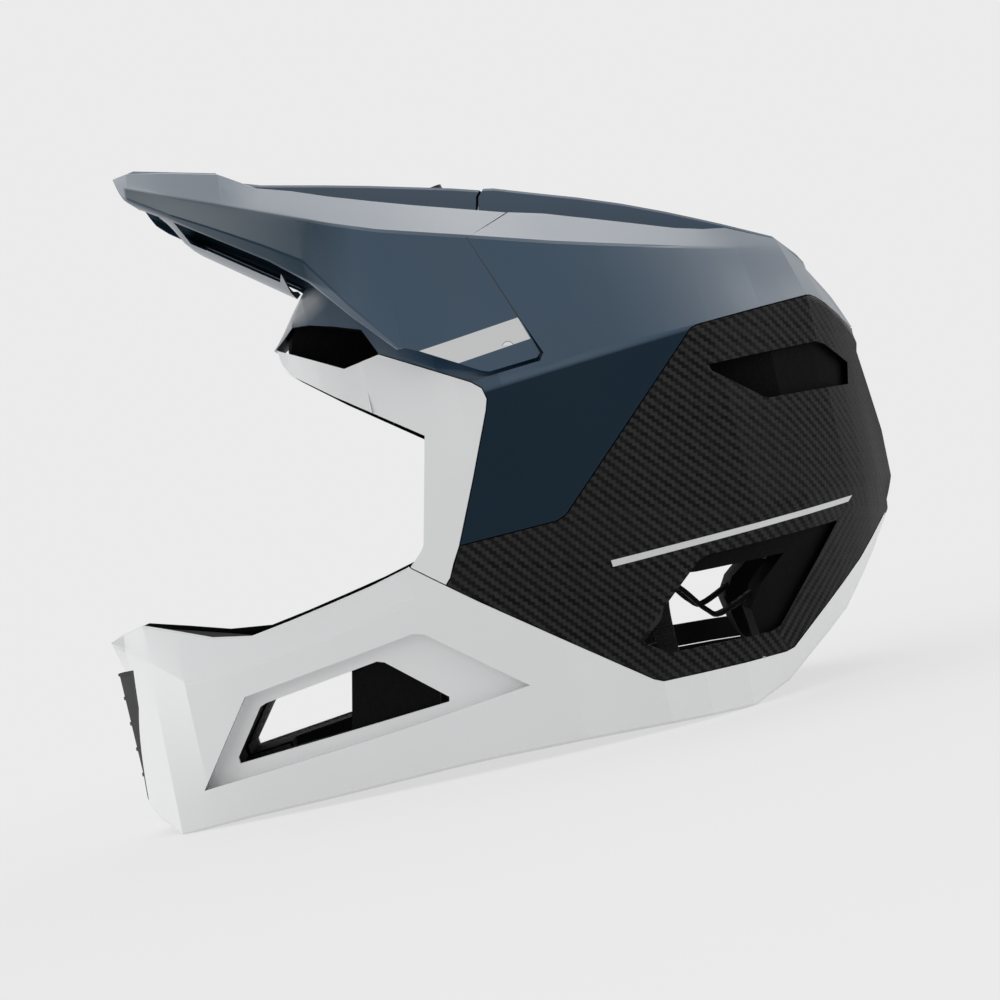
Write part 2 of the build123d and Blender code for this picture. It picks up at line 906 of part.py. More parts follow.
brow_vent = side_points(brow_vent_shares)
upper_vent = side_points(upper_vent_shares)
lower_vent = side_points(lower_vent_shares)
mouth_recess = side_points(mouth_recess_shares)
mouth_vent = side_points(mouth_vent_shares)
front_vent = [(out, z) for out, _, z in (place(*share) for share in front_vent_shares)]
pivot_y, pivot_z = place(pivot_along_share, pivot_down_share, pivot_out_share)[1:]

# The one-piece wall that the shell's panels are cut from
outer_form = shell_form()
hollow_form = shell_form(shell_wall)
liner_form = shell_form(shell_wall + liner_gap)
with BuildPart() as wall:
    add(outer_form)
    add(hollow_form, mode=Mode.SUBTRACT)
    add(prism(side_points(body_outline_shares)), mode=Mode.INTERSECT)
    with BuildSketch(Plane.XY.offset(-overrun)):
        Rectangle(4 * half_width, 4 * half_length)
    extrude(amount=overrun, mode=Mode.SUBTRACT)


def panel(zone, *openings):
    """Part of the shell's wall inside a zone of the side view, with openings cut through both sides."""
    with BuildPart() as made:
        add(wall.part)
        add(prism(zone, grow=-panel_gap / 2), mode=Mode.INTERSECT)
        for opening in openings:
            add(prism(opening), mode=Mode.SUBTRACT)
    return made


def left_side(part):
    """Half of a part on the wearer's left."""
    with BuildPart() as made:
        add(part)
        split(bisect_by=Plane.YZ.offset(panel_gap / 2), keep=Keep.TOP)
    return made.part


def pair(part, name):
    """Write a left piece and its mirror image on the right."""
    with BuildPart() as other:
        add(part)
        mirror(about=Plane.YZ, mode=Mode.REPLACE)
    finish(part, f"{name}_left")
    finish(other.part, f"{name}_right")


# Shell panels
crown_shell = panel(crown_zone, brow_vent)
face_frame = panel(frame_zone)
lower_shell = panel(lower_zone, mouth_recess)
with BuildPart() as chin_bar:
    add(lower_shell.part)
    add(front_opening(0.0), mode=Mode.SUBTRACT)
rear_panel = panel(panel_zone, upper_vent, lower_vent)

# Visor: one sheet with a flange under its side edges and slots beside its spine
visor_outline = side_points(visor_outline_shares)
screw_y, screw_z = place(*screw_shares)[1:]
screw_reach = math.hypot(screw_y - pivot_y, screw_z - pivot_z)
screw_axis = Plane(
    origin=(0, pivot_y, pivot_z),
    x_dir=(1, 0, 0),
    z_dir=(0, (screw_y - pivot_y) / screw_reach, (screw_z - pivot_z) / screw_reach),
)
seat_reach = screw_reach - screw_sink
visor_travel = screw_reach * math.radians(visor_range)
slot_axis = screw_axis.rotated((-visor_range / 2, 0, 0))
slot_front = place(*visor_slot_shares[0])[1]
slot_rear = place(*visor_slot_shares[1])[1]
with BuildPart() as visor:
    add(form(visor_section, visor_station_shares))
    add(form(visor_hollow_section, visor_station_shares, visor_wall, below=overrun), mode=Mode.SUBTRACT)
    add(prism(visor_outline), mode=Mode.INTERSECT)
    add(spine_lap(seam=visor_seam), mode=Mode.SUBTRACT)
    # Air slots between the spine and the bands
    with BuildSketch(Plane.XY.offset(pivot_z)):
        with BuildLine():
            Polyline(
                (slot_inner, slot_front),
                (slot_inner, slot_rear),
                (slot_outer, slot_rear),
                (slot_inner + groove_depth, slot_front),
                close=True,
            )
        make_face()
        mirror(about=Plane.YZ)
    extrude(amount=room_above - pivot_z, mode=Mode.SUBTRACT)
    # Pocket and slot of the thumb screw, long enough for the visor's travel
    with BuildSketch(slot_axis.offset(seat_reach - screw_clearance)):
        SlotCenterToCenter(visor_travel, screw_head_diameter + 2 * screw_clearance, rotation=90)
    extrude(amount=screw_reach, mode=Mode.SUBTRACT)
    with BuildSketch(slot_axis.offset(seat_reach / 2)):
        SlotCenterToCenter(visor_travel, screw_diameter + 2 * screw_clearance, rotation=90)
    extrude(amount=screw_reach, mode=Mode.SUBTRACT)
    # Blind sockets that turn on the pivot studs
    with BuildSketch(Plane.YZ.offset(stud_end - stud_engagement - overrun)):
        with Locations((pivot_y, pivot_z)):
            Circle(stud_diameter / 2 + stud_clearance)
    extrude(amount=stud_engagement + overrun + stud_clearance, mode=Mode.SUBTRACT)
    with BuildSketch(Plane.YZ.offset(-stud_end - stud_clearance)):
        with Locations((pivot_y, pivot_z)):
            Circle(stud_diameter / 2 + stud_clearance)
    extrude(amount=stud_engagement + overrun + stud_clearance, mode=Mode.SUBTRACT)

# Plate under the visor, with an opening on each side of its keel
keel_front, keel_rear = place(*underplate_keel_shares[0])[1], place(*underplate_keel_shares[-1])[1]
underplate_places = [keel_front + (keel_rear - keel_front) * share for share in underplate_place_shares]
with BuildPart() as visor_underplate:
    for y in underplate_places:
        corners = underplate_section(y)
        with BuildSketch(Plane.XZ.offset(-y)):
            with BuildLine():
                Polyline(*corners, *[(-out, z) for out, z in reversed(corners)], close=True)
            make_face()
    loft(ruled=True)
    with BuildSketch(Plane.YZ):
        with BuildLine():
            Polyline(*side_points(underplate_window_shares), close=True)
        make_face()
    extrude(amount=half_width, both=True, mode=Mode.SUBTRACT)
    add(visor.part, mode=Mode.SUBTRACT)

# Pivot studs: a flange inside the shell and a pin that ends in the visor
with BuildPart() as stud:
    with BuildSketch(Plane.YZ.offset(stud_end - stud_length)):
        with Locations((pivot_y, pivot_z)):
            Circle(stud_diameter / 2)
    extrude(amount=stud_length)
with BuildPart() as crown_shell_drilled:
    add(crown_shell.part)
    with BuildSketch(Plane.YZ):
        with Locations((pivot_y, pivot_z)):
            Circle(stud_diameter / 2 + stud_clearance / 2)
    extrude(amount=half_width, both=True, mode=Mode.SUBTRACT)
    with BuildSketch(screw_axis):
        Circle(nut_diameter / 2 + screw_clearance)
    extrude(amount=screw_reach - groove_depth, mode=Mode.SUBTRACT)

# Thumb screw with its slotted head, and the nut under the dome
with BuildPart() as visor_screw:
    with BuildSketch(screw_axis.offset(seat_reach + screw_clearance)):
        Circle(screw_head_diameter / 2)
    extrude(amount=screw_head_height)
    with BuildSketch(screw_axis.offset(seat_reach + screw_clearance + screw_head_height)):
        Rectangle(screw_slot_width, screw_head_diameter)
    extrude(amount=-screw_head_height / 2, mode=Mode.SUBTRACT)
    with BuildSketch(screw_axis.offset(nut_reach)):
        Circle(screw_diameter / 2)
    extrude(amount=seat_reach + screw_clearance - nut_reach)
with BuildPart() as visor_nut:
    with BuildSketch(screw_axis.offset(nut_reach - nut_flange_height)):
        Circle(nut_flange_diameter / 2)
    extrude(amount=nut_flange_height)
    with BuildSketch(screw_axis.offset(nut_reach)):
        Circle(nut_diameter / 2)
    extrude(amount=nut_height)
    with BuildSketch(screw_axis.offset(nut_reach - nut_flange_height)):
        Circle(screw_diameter / 2 + screw_clearance / 2)
    extrude(amount=nut_height + nut_flange_height, mode=Mode.SUBTRACT)

# Foam liners: the crown liner fills the room between the shell and the head, the chin liner backs the chin bar
head_room = cavity()
with BuildPart() as crown_liner:
    add(liner_form)
    add(prism(side_points(liner_zone_shares)), mode=Mode.INTERSECT)
    add(head_room, mode=Mode.SUBTRACT)
    with BuildSketch(Plane.XY.offset(liner_lift)):
        Rectangle(4 * half_width, 4 * half_length)
    extrude(amount=-2 * overrun, mode=Mode.SUBTRACT)
    # Clear of the nut and of the studs
    with BuildSketch(screw_axis):
        Circle(nut_flange_diameter / 2 + liner_gap)
    extrude(amount=screw_reach, mode=Mode.SUBTRACT)
    with BuildSketch(Plane.YZ):
        with Locations((pivot_y, pivot_z)):
            Circle(stud_diameter / 2 + liner_gap)
    extrude(amount=half_width, both=True, mode=Mode.SUBTRACT)
    # Air channels behind the brow vent and the upper rear vents
    add(prism(brow_vent, near=brow_channel_out), mode=Mode.SUBTRACT)
    add(prism(upper_vent, near=rear_channel_out), mode=Mode.SUBTRACT)
    add(face_frame.part, mode=Mode.SUBTRACT)

with BuildPart() as mouth_way:
    add(prism(mouth_vent, grow=mouth_vent_margin))
    add(prism(side_points(mouth_way_shares)), mode=Mode.INTERSECT)
with BuildPart() as chin_liner:
    add(chin_form(frame_sink + frame_wall + liner_gap))
    add(chin_form(frame_sink + frame_wall + chin_liner_wall), mode=Mode.SUBTRACT)
    add(prism(side_points(chin_liner_shares)), mode=Mode.INTERSECT)
    add(mouth_way.part, mode=Mode.SUBTRACT)
    add(front_opening(0.0), mode=Mode.SUBTRACT)

# Frames that line the mouth vents, sunk below the shell
with BuildPart() as recess_room:
    add(side_form(shell_wall))
    add(side_form(frame_sink), mode=Mode.SUBTRACT)
    add(prism(mouth_recess), mode=Mode.INTERSECT)
with BuildPart() as vent_frames:
    add(side_form(shell_wall + seat_gap))
    add(side_form(frame_sink + frame_wall), mode=Mode.SUBTRACT)
    add(prism(mouth_recess, grow=frame_wall), mode=Mode.INTERSECT)
    add(recess_room.part, mode=Mode.SUBTRACT)
    add(prism(mouth_vent), mode=Mode.SUBTRACT)
mouth_vent_frame = left_side(vent_frames.part)

# Plug of bars in the front vent, flush with the chin bar and flanged behind its wall
grille_heights = [
    front_vent[-1][1] + (front_vent[0][1] - front_vent[-1][1]) * share for share in grille_bar_shares
]
with BuildPart() as grille_holes:
    add(front_opening(-grille_bar))
    with BuildSketch(Plane.XZ):
        with Locations(*[(0, z) for z in grille_heights]):
            Rectangle(half_width, grille_bar)
    extrude(amount=2 * half_length, mode=Mode.SUBTRACT)
with BuildPart() as front_plug:
    add(front_opening(-seat_gap))
    add(outer_form, mode=Mode.INTERSECT)
with BuildPart() as front_grille:
    add(front_opening(grille_margin))
    add(chin_form(shell_wall + seat_gap), mode=Mode.INTERSECT)
    add(front_plug.part)
    add(chin_form(shell_wall + seat_gap + grille_depth), mode=Mode.SUBTRACT)
    add(grille_holes.part, mode=Mode.SUBTRACT)


# Pads against the liner
def pad(thickness, zone_shares):
    """Cushion of an even thickness that lines part of the head's room."""
    with BuildPart() as made:
        add(cavity(pad_gap))
        add(cavity(pad_gap + thickness), mode=Mode.SUBTRACT)
        add(prism(side_points(zone_shares)), mode=Mode.INTERSECT)
    return made.part


comfort_liner = pad(comfort_thickness, comfort_shares)
head_band = pad(comfort_thickness, head_band_shares)
neck_roll = pad(neck_roll_thickness, neck_roll_shares)
cheek_pad = left_side(pad(cheek_pad_thickness, cheek_pad_shares))

# Strap anchors: a disc on the shell's inner face and a headed post that the strap's end turns on
anchor_out, anchor_y, anchor_z = place(*anchor_shares)
post_start = anchor_out - shell_wall - liner_gap - anchor_disc_wall
strap_out = post_start - strap_clearance - hanger_thickness / 2
post_end = strap_out - hanger_thickness / 2 - strap_clearance


def disc_at_anchor(diameter, start, length):
    """Round bar across the helmet at the strap's anchor, from its start towards the mid plane."""
    with BuildPart() as made:
        with BuildSketch(Plane.YZ.offset(start - length)):
            with Locations((anchor_y, anchor_z)):
                Circle(diameter / 2)
        extrude(amount=length)
    return made.part


with BuildPart() as strap_anchor:
    add(liner_form)
    add(disc_at_anchor(anchor_disc_diameter, half_width, half_width - post_start), mode=Mode.INTERSECT)
    add(disc_at_anchor(post_diameter, post_start + liner_gap, post_start + liner_gap - post_end))
    add(disc_at_anchor(post_head_diameter, post_end, post_head_height))

# Chin strap: it hangs from both anchors in a plane that slopes forward and down
strap_direction = (0, -math.cos(math.radians(strap_slope)), -math.sin(math.radians(strap_slope)))
strap_normal = (0, -math.sin(math.radians(strap_slope)), math.cos(math.radians(strap_slope)))
strap_plane = Plane(origin=(0, anchor_y, anchor_z), x_dir=(1, 0, 0), z_dir=strap_normal)
drop_sign = 1 if strap_plane.y_dir.Z < 0 else -1
strap_route = [
    (strap_out, 0),
    (strap_out, drop_sign * strap_drop * strap_knee_share),
    (buckle_top_out, drop_sign * strap_drop * buckle_top_share),
    (buckle_low_out, drop_sign * strap_drop * buckle_low_share),
    (0, drop_sign * strap_drop),
]
route_mirrored = [(-out, drop) for out, drop in reversed(strap_route[:-1])]
buckle_dx = buckle_low_out - buckle_top_out
buckle_dd = strap_route[3][1] - strap_route[2][1]
buckle_run = math.hypot(buckle_dx, buckle_dd)
buckle_middle = ((buckle_low_out + buckle_top_out) / 2, (strap_route[3][1] + strap_route[2][1]) / 2)
buckle_origin = strap_plane.from_local_coords(buckle_middle)
buckle_along = strap_plane.from_local_coords(
    (buckle_middle[0] + buckle_dx / buckle_run, buckle_middle[1] + buckle_dd / buckle_run)
) - buckle_origin
buckle_plane = Plane(origin=buckle_origin, x_dir=buckle_along, z_dir=Vector(*strap_normal).cross(buckle_along))


def along_buckle(reach):
    """Point of the strap's route that lies reach past the buckle's middle."""
    return (
        buckle_middle[0] + reach * buckle_dx / buckle_run,
        buckle_middle[1] + reach * buckle_dd / buckle_run,
    )


def webbing(route, thickness=strap_thickness, width=strap_width):
    """Strap along a route in the strap's plane."""
    with BuildPart() as made:
        with BuildSketch(strap_plane):
            with BuildLine():
                FilletPolyline(*route, radius=strap_bend)
            trace(line_width=thickness)
        extrude(amount=width / 2, both=True)
    return made.part


def buckle_block(start, length, floor, top, width):
    """Block of the buckle, from a start along the strap and between two levels over it."""
    with BuildPart() as made:
        with BuildSketch(buckle_plane.offset(floor)):
            with Locations((start + length / 2, 0)):
                Rectangle(length, width)
        extrude(amount=top - floor)
    return made.part


def hanger(side):
    """Ring at the strap's end that turns on the anchor's post."""
    with BuildPart() as made:
        with BuildSketch(Plane.YZ.offset(side * strap_out - hanger_thickness / 2)):
            with Locations((anchor_y, anchor_z)):
                Circle(hanger_diameter / 2)
                Circle(post_diameter / 2 + strap_clearance, mode=Mode.SUBTRACT)
        extrude(amount=hanger_thickness)
    return made.part


with BuildPart() as strap_left:
    add(webbing(strap_route[:2] + [strap_route[2], along_buckle(ladder_start - strap_clearance)]))
    add(hanger(1))
    with BuildSketch(Plane.YZ.offset(strap_out - hanger_thickness)):
        with Locations((anchor_y, anchor_z)):
            Circle(post_diameter / 2 + strap_clearance)
    extrude(amount=2 * hanger_thickness, mode=Mode.SUBTRACT)
with BuildPart() as strap_right:
    add(webbing([along_buckle(ladder_end + strap_clearance)] + strap_route[3:] + route_mirrored[:]))
    add(hanger(-1))
    with BuildSketch(Plane.YZ.offset(-strap_out - hanger_thickness)):
        with Locations((anchor_y, anchor_z)):
            Circle(post_diameter / 2 + strap_clearance)
    extrude(amount=2 * hanger_thickness, mode=Mode.SUBTRACT)

# Toothed strip on the long strap's end
strap_top = strap_thickness / 2
with BuildPart() as strap_ladder:
    add(buckle_block(ladder_start, ladder_end - ladder_start, -strap_top, ladder_top, ladder_width))
    add(buckle_block(ladder_end, ladder_tail, strap_top + strap_clearance / 2, ladder_top, ladder_width))
    for number in range(tooth_count):
        start = ladder_start + tooth_pitch * (number + 1 / 2)
        add(buckle_block(start, tooth_pitch / 2, ladder_top, ladder_top + tooth_height, ladder_width * 0.8))

# Buckle's case: a channel with a bar over the short strap and a pin across its walls
inner_width = strap_width + 2 * strap_clearance
case_floor = -strap_top - strap_clearance
pin_plane = Plane(
    origin=buckle_plane.from_local_coords((case_start + pin_setback, 0, pin_height)),
    x_dir=buckle_along,
    z_dir=buckle_plane.y_dir * -1,
)
with BuildPart() as buckle_case:
    add(buckle_block(case_start, case_length, case_floor - case_wall, case_top, inner_width + 2 * case_wall))
    add(
        buckle_block(case_start - overrun, case_length + 2 * overrun, case_floor, case_top + overrun, inner_width),
        mode=Mode.SUBTRACT,
    )
    add(buckle_block(case_start, case_bar, strap_top + strap_clearance, strap_top + case_wall, inner_width))
    with BuildSketch(pin_plane):
        Circle(pin_diameter / 2 + pin_clearance)
    extrude(amount=half_width / 2, both=True, mode=Mode.SUBTRACT)
with BuildPart() as buckle_pin:
    with BuildSketch(pin_plane):
        Circle(pin_diameter / 2)
    extrude(amount=inner_width / 2 + case_wall, both=True)

# Lever over the pin, its pawl over the strip's teeth
with BuildPart() as buckle_lever:
    with BuildSketch(pin_plane):
        Circle(barrel_diameter / 2)
        with BuildLine():
            Polyline(
                (0, barrel_diameter / 2),
                (lever_length / 2, barrel_diameter / 2 + lever_wall / 3),
                (lever_length, barrel_diameter / 2),
                (lever_length, barrel_diameter / 2 - lever_wall),
                (lever_length / 3, barrel_diameter / 2 - lever_wall),
                (pawl_reach, -barrel_diameter / 2),
                (0, 0),
                close=True,
            )
        make_face()
        Circle(pin_diameter / 2 + pin_clearance, mode=Mode.SUBTRACT)
    extrude(amount=strap_width / 2 - strap_clearance, both=True)


# Keeper over the strap and padded sleeve under the chin
def sleeve(start, end, wall):
    """Ring round the strap between two places on the lowest run of its route, as shares of the run."""
    low_out, low_drop = strap_route[3]
    end_drop = strap_route[4][1]
    points = [(low_out * share, end_drop + (low_drop - end_drop) * abs(share)) for share in (start, end)]
    if start > 0 > end:
        points.insert(1, strap_route[4])
    with BuildPart() as made:
        with BuildSketch(strap_plane):
            with BuildLine():
                Polyline(*points)
            trace(line_width=strap_thickness + 2 * strap_clearance + 2 * wall)
        extrude(amount=strap_width / 2 + strap_clearance + wall, both=True)
        with BuildSketch(strap_plane):
            with BuildLine():
                Polyline(*points)
            trace(line_width=strap_thickness + 2 * strap_clearance)
        extrude(amount=strap_width / 2 + strap_clearance, both=True, mode=Mode.SUBTRACT)
    return made.part


strap_keeper = sleeve(keeper_shares[0], keeper_shares[1], keeper_wall)
strap_pad = sleeve(strap_pad_shares[0], strap_pad_shares[1], strap_pad_wall)

finish(crown_shell_drilled.part, "crown_shell")
finish(face_frame.part, "face_frame")
finish(chin_bar.part, "lower_shell")
finish(rear_panel.part, "rear_panel")
finish(visor.part, "visor")
finish(visor_underplate.part, "visor_underplate")
pair(stud.part, "pivot_stud")
finish(visor_screw.part, "visor_screw")
finish(visor_nut.part, "visor_nut")
pair(left_side(crown_liner.part), "crown_liner")
finish(chin_liner.part, "chin_liner")
pair(mouth_vent_frame, "mouth_vent_frame")
finish(front_grille.part, "front_grille")
finish(comfort_liner, "comfort_liner")
finish(head_band, "head_band")
finish(neck_roll, "neck_roll")
pair(cheek_pad, "cheek_pad")
pair(strap_anchor.part, "strap_anchor")
finish(strap_left.part, "strap_left")
finish(strap_right.part, "strap_right")
finish(strap_ladder.part, "strap_ladder")
finish(strap_keeper, "strap_keeper")
finish(strap_pad, "strap_pad")
finish(buckle_case.part, "buckle_case")
finish(buckle_pin.part, "buckle_pin")
finish(buckle_lever.part, "buckle_lever")
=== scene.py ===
"""Looks of a full face downhill helmet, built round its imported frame."""

import math

import bmesh
import bpy
import numpy as np
from bpy.props import FloatProperty, FloatVectorProperty, PointerProperty
from bpy.types import NodeSocket, Operator, Panel, PropertyGroup
from mathutils import Matrix, Vector
from mathutils.bvhtree import BVHTree
from mathutils.kdtree import KDTree


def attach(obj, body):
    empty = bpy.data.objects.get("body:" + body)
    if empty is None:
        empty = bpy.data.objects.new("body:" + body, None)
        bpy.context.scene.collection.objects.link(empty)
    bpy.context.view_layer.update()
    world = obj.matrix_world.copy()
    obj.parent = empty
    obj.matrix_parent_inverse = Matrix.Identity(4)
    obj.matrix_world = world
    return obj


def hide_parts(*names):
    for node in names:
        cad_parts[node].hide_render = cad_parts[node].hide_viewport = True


bl_info = {
    "name": "Downhill Helmet",
    "version": (1, 0, 0),
    "blender": (4, 5, 0),
    "location": "View3D > Sidebar > Helmet",
    "description": "Paint, weave, padding and straps of a full face downhill helmet",
    "category": "Object",
}

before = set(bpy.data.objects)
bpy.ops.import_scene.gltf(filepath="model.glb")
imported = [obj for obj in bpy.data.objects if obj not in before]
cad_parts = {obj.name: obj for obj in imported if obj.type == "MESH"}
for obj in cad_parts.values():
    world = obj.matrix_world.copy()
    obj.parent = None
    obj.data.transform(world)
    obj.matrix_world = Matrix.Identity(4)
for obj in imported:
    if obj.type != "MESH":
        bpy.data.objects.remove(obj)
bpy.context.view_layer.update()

# Side view in which the outlines are drawn, in metres
SIDE_VIEW_WIDTH = 0.470
VIEW_DISTANCE = 1.250
HALF_WIDTH = 0.118
WORN_TILT = math.radians(13.6)
VIEW_MIDDLE = (0.006440, 0.113609)

# Places in the side view: shares of its width along and down, and of the half width outwards
VISOR_STRIPE = ((0.419, 0.351, 0.85), (0.4586, 0.363, 0.87), (0.5307, 0.3377, 0.88), (0.518, 0.316, 0.87))
# Painted shadow: a thin black line along the visor's rear edge, where the gap to the shell is in shade
VISOR_SEAM_SHADOW = (
    (0.4655, 0.2365, 0.68), (0.4683, 0.2365, 0.68), (0.5235, 0.3205, 0.87), (0.5207, 0.3205, 0.87),
)
# Painted reflection: the visor's lower flank darker and without coat, for the dark that the glossy blue
# reflects there
VISOR_FLANK_REFLECTION = ((0.124, 0.1885, 0.45), (0.330, 0.2222, 0.66), (0.330, 0.2900, 0.82), (0.124, 0.1985, 0.60))
# Painted highlight: the hood under the visor lighter, for the front lamps that its gloss reflects
HOOD_PAINTED_HIGHLIGHT = (
    (0.290, 0.292, 0.12), (0.322, 0.292, 0.25), (0.336, 0.330, 0.40), (0.292, 0.330, 0.30),
    (0.270, 0.352, 0.20),
)
# Lower facet of the crown shell, darker and without coat: partly a second tone of the paint, partly painted
# shade for the dark that the glossy blue reflects there
NAVY_FACET_AND_SHADE = (
    (0.440, 0.4035, 0.86), (0.500, 0.3852, 0.88), (0.691, 0.3272, 0.84), (0.76, 0.60, 0.90),
    (0.440, 0.620, 0.88),
)
# White paint turns black inside this outline round the lower rear vent, on the near and the far side alike
LOWER_VENT_BLACK = (
    (0.634, 0.642, 0.9), (0.701, 0.549, 0.9), (0.790, 0.540, 0.9), (0.776, 0.634, 0.9), (0.671, 0.662, 0.9),
)
REAR_FACET = (
    (0.845, 0.508, 0.55), (0.778, 0.634, 0.74), (0.797, 0.652, 0.70), (0.864, 0.560, 0.35),
    (0.892, 0.505, 0.10),
)
PANEL_STRIPE = (
    (0.611, 0.5604, 0.93), (0.613, 0.5668, 0.93), (0.849, 0.5015, 0.54), (0.8528, 0.495, 0.52),
)
REAR_BAND = (
    (0.662, 0.576, 0.46), (0.683, 0.590, 0.46), (0.706, 0.609, 0.46), (0.722, 0.612, 0.47),
    (0.760, 0.585, 0.5),
)
SIDE_BAND = ((0.658, 0.590, 0.62), (0.660, 0.612, 0.62), (0.666, 0.640, 0.60), (0.672, 0.660, 0.58))
# Painted shadow: a dark strip that fills the gap behind the visor's spine, where there is only shade
VISOR_GAP_SHADOW = ((0.4795, 0.1926), (0.4768, 0.2005), (0.4757, 0.2095), (0.4745, 0.216))

# Half widths of the edges of painted outlines, in metres
SHARP = 0.00008
SPRAYED = 0.0003
ROUNDED = 0.0012
FADING = 0.0035
FLANK_REFLECTION_EDGES = (0.0006, 0.010, 0.0006, 0.0006)

# Paints that stand for what the glossy blue reflects
FLANK_REFLECTION_BLUE = (0.015, 0.036, 0.056)
HOOD_HIGHLIGHT_GREY = (0.21, 0.225, 0.24)

# Metals
STEEL_COLOUR = (0.56, 0.57, 0.58)
ALLOY_COLOUR = (0.03, 0.03, 0.032)

# Fineness of the grain on each kind of surface
PAINT_GRAIN = 1400.0
PLASTIC_GRAIN = 2200.0
RUBBER_GRAIN = 1500.0
METAL_GRAIN = 3000.0

# Weave of the rear panel: the upright axis that it goes round, and how far out it is measured
WEAVE_AXIS_BACK = 0.060
WEAVE_AXIS_IN = 0.02
WEAVE_REACH = 0.128
WEAVE_START = 0.5

# Meshes, in metres and degrees
MERGE_DISTANCE = 0.00001
FLAT_ANGLE = math.radians(0.6)
CREASE_ANGLE = math.radians(34)
BLEND_ANGLE = math.radians(10)
BLEND_REACH = 0.010
STRAP_ROUNDING = 0.0004
STRAP_FOLD = math.radians(40)
BAND_THICKNESS = 0.0022
BAND_ROUNDING_SHARE = 0.35
BAND_FOLD = math.radians(60)
BAND_CREASE = math.radians(50)
REAR_BAND_WIDTH = 0.012
SIDE_BAND_WIDTH = 0.009
# Width and thickness of the dark strip that stands for the shadow behind the visor's spine
GAP_SHADOW_WIDTH = 0.016
GAP_SHADOW_THICKNESS = 0.0018
SCREEN_SETBACK = 0.0006
SCREEN_CREASE = math.radians(20)

# Pads: node, body, how tightly filled, voxel and greatest swelling in metres
PADS = (
    ("comfort_liner", "helmet", 0.6, 0.004, 0.002),
    ("head_band", "helmet", 0.6, 0.003, 0.002),
    ("neck_roll", "helmet", 0.7, 0.004, 0.003),
    ("cheek_pad_left", "helmet", 0.7, 0.004, 0.003),
    ("cheek_pad_right", "helmet", 0.7, 0.004, 0.003),
    ("strap_pad", "strap", 0.5, 0.0012, 0.0008),
)
PAD_SMOOTHINGS = 5
PAD_SHRINK_SHARE = 0.4
PAD_PRESSURE = 4.0
PAD_STIFFNESS = 20.0
PAD_FRAMES = 15

# Small parts that keep their frame shape, and their finishes
HARDWARE = (
    ("pivot_stud_left", "steel"),
    ("pivot_stud_right", "steel"),
    ("visor_screw", "alloy"),
    ("visor_nut", "alloy"),
    ("front_grille", "black_plastic"),
    ("strap_anchor_left", "alloy"),
    ("strap_anchor_right", "alloy"),
    ("strap_ladder", "black_plastic"),
    ("strap_keeper", "dark_rubber"),
    ("buckle_case", "black_plastic"),
    ("buckle_pin", "steel"),
    ("buckle_lever", "black_plastic"),
)

# Studio, in metres and watts; a lamp is its name, place, width and power
FLOOR_HALF = 3.0
FLOOR_DROP = 0.0005
FLOOR_COLOUR = (0.80, 0.80, 0.80, 1)
SHADOW_SHARE = 0.80
SHADOW_NEAR = 0.22
SHADOW_FAR = 0.85
UNSEEN_GLOW = 0.45
SKY_BELOW = (0.20, 0.20, 0.20, 1)
SKY_ABOVE = (0.66, 0.66, 0.66, 1)
SKY_LOWEST = -0.6
SKY_HIGHEST = 0.9
LAMP_AIM = Vector((0, 0, 0.15))
LAMPS = (
    ("lamp_above", Vector((-0.85, 0.10, 1.5)), 1.6, 10.0),
    ("lamp_left", Vector((1.5, -0.2, 0.75)), 1.3, 2.2),
    ("lamp_front", Vector((-0.4, -1.9, 0.45)), 1.5, 18.0),
    ("lamp_rear", Vector((0.9, 1.6, 0.25)), 1.2, 10.0),
)
SENSOR_WIDTH = 36.0
CAMERA_SIGHT = 50.0


def side_spot(along, down, out=0.0):
    """Point of the helmet's left side from its place in the side view and its distance out."""
    reach = SIDE_VIEW_WIDTH * (1 - out * HALF_WIDTH / VIEW_DISTANCE)
    across, up = (along - 0.5) * reach, (0.5 - down) * reach
    return Vector(
        (
            out * HALF_WIDTH,
            across * math.cos(WORN_TILT) + up * math.sin(WORN_TILT) + VIEW_MIDDLE[0],
            up * math.cos(WORN_TILT) - across * math.sin(WORN_TILT) + VIEW_MIDDLE[1],
        )
    )


def side_spots(places):
    """Points of the helmet's left side from their places in the side view."""
    return [side_spot(*place) for place in places]


# Sizes and colours
class HelmetColours(PropertyGroup):
    """Colours of the helmet's finishes."""

    blue: FloatVectorProperty(
        name="Blue paint", description="Crown shell and visor", subtype="COLOR", size=3,
        default=(0.016, 0.048, 0.088),
    )
    # Partly a second tone of the paint, partly painted shade on the crown shell's lower facet
    navy: FloatVectorProperty(
        name="Navy paint", description="Lower facet of the crown shell", subtype="COLOR", size=3,
        default=(0.003, 0.015, 0.028),
    )
    white: FloatVectorProperty(
        name="White paint", description="Chin bar and face frame", subtype="COLOR", size=3,
        default=(0.78, 0.785, 0.79),
    )
    carbon: FloatVectorProperty(
        name="Carbon", description="Fibres of the rear panel", subtype="COLOR", size=3,
        default=(0.013, 0.013, 0.0135),
    )
    stripe: FloatVectorProperty(
        name="Stripes", description="Light stripes on the visor and the rear panel", subtype="COLOR", size=3,
        default=(0.62, 0.625, 0.625),
    )
    black: FloatVectorProperty(
        name="Black plastic", description="Grille, buckle and trim", subtype="COLOR", size=3,
        default=(0.006, 0.006, 0.0065),
    )
    foam: FloatVectorProperty(
        name="Foam", description="Moulded bead foam of the liners", subtype="COLOR", size=3,
        default=(0.004, 0.004, 0.0043),
    )
    cloth: FloatVectorProperty(
        name="Pad cloth", description="Cloth of the pads", subtype="COLOR", size=3,
        default=(0.016, 0.016, 0.018),
    )
    webbing: FloatVectorProperty(
        name="Webbing", description="Chin strap", subtype="COLOR", size=3, default=(0.011, 0.011, 0.012),
    )
    backdrop: FloatVectorProperty(
        name="Backdrop", description="Floor and backdrop", subtype="COLOR", size=3,
        default=(0.832, 0.832, 0.832),
    )


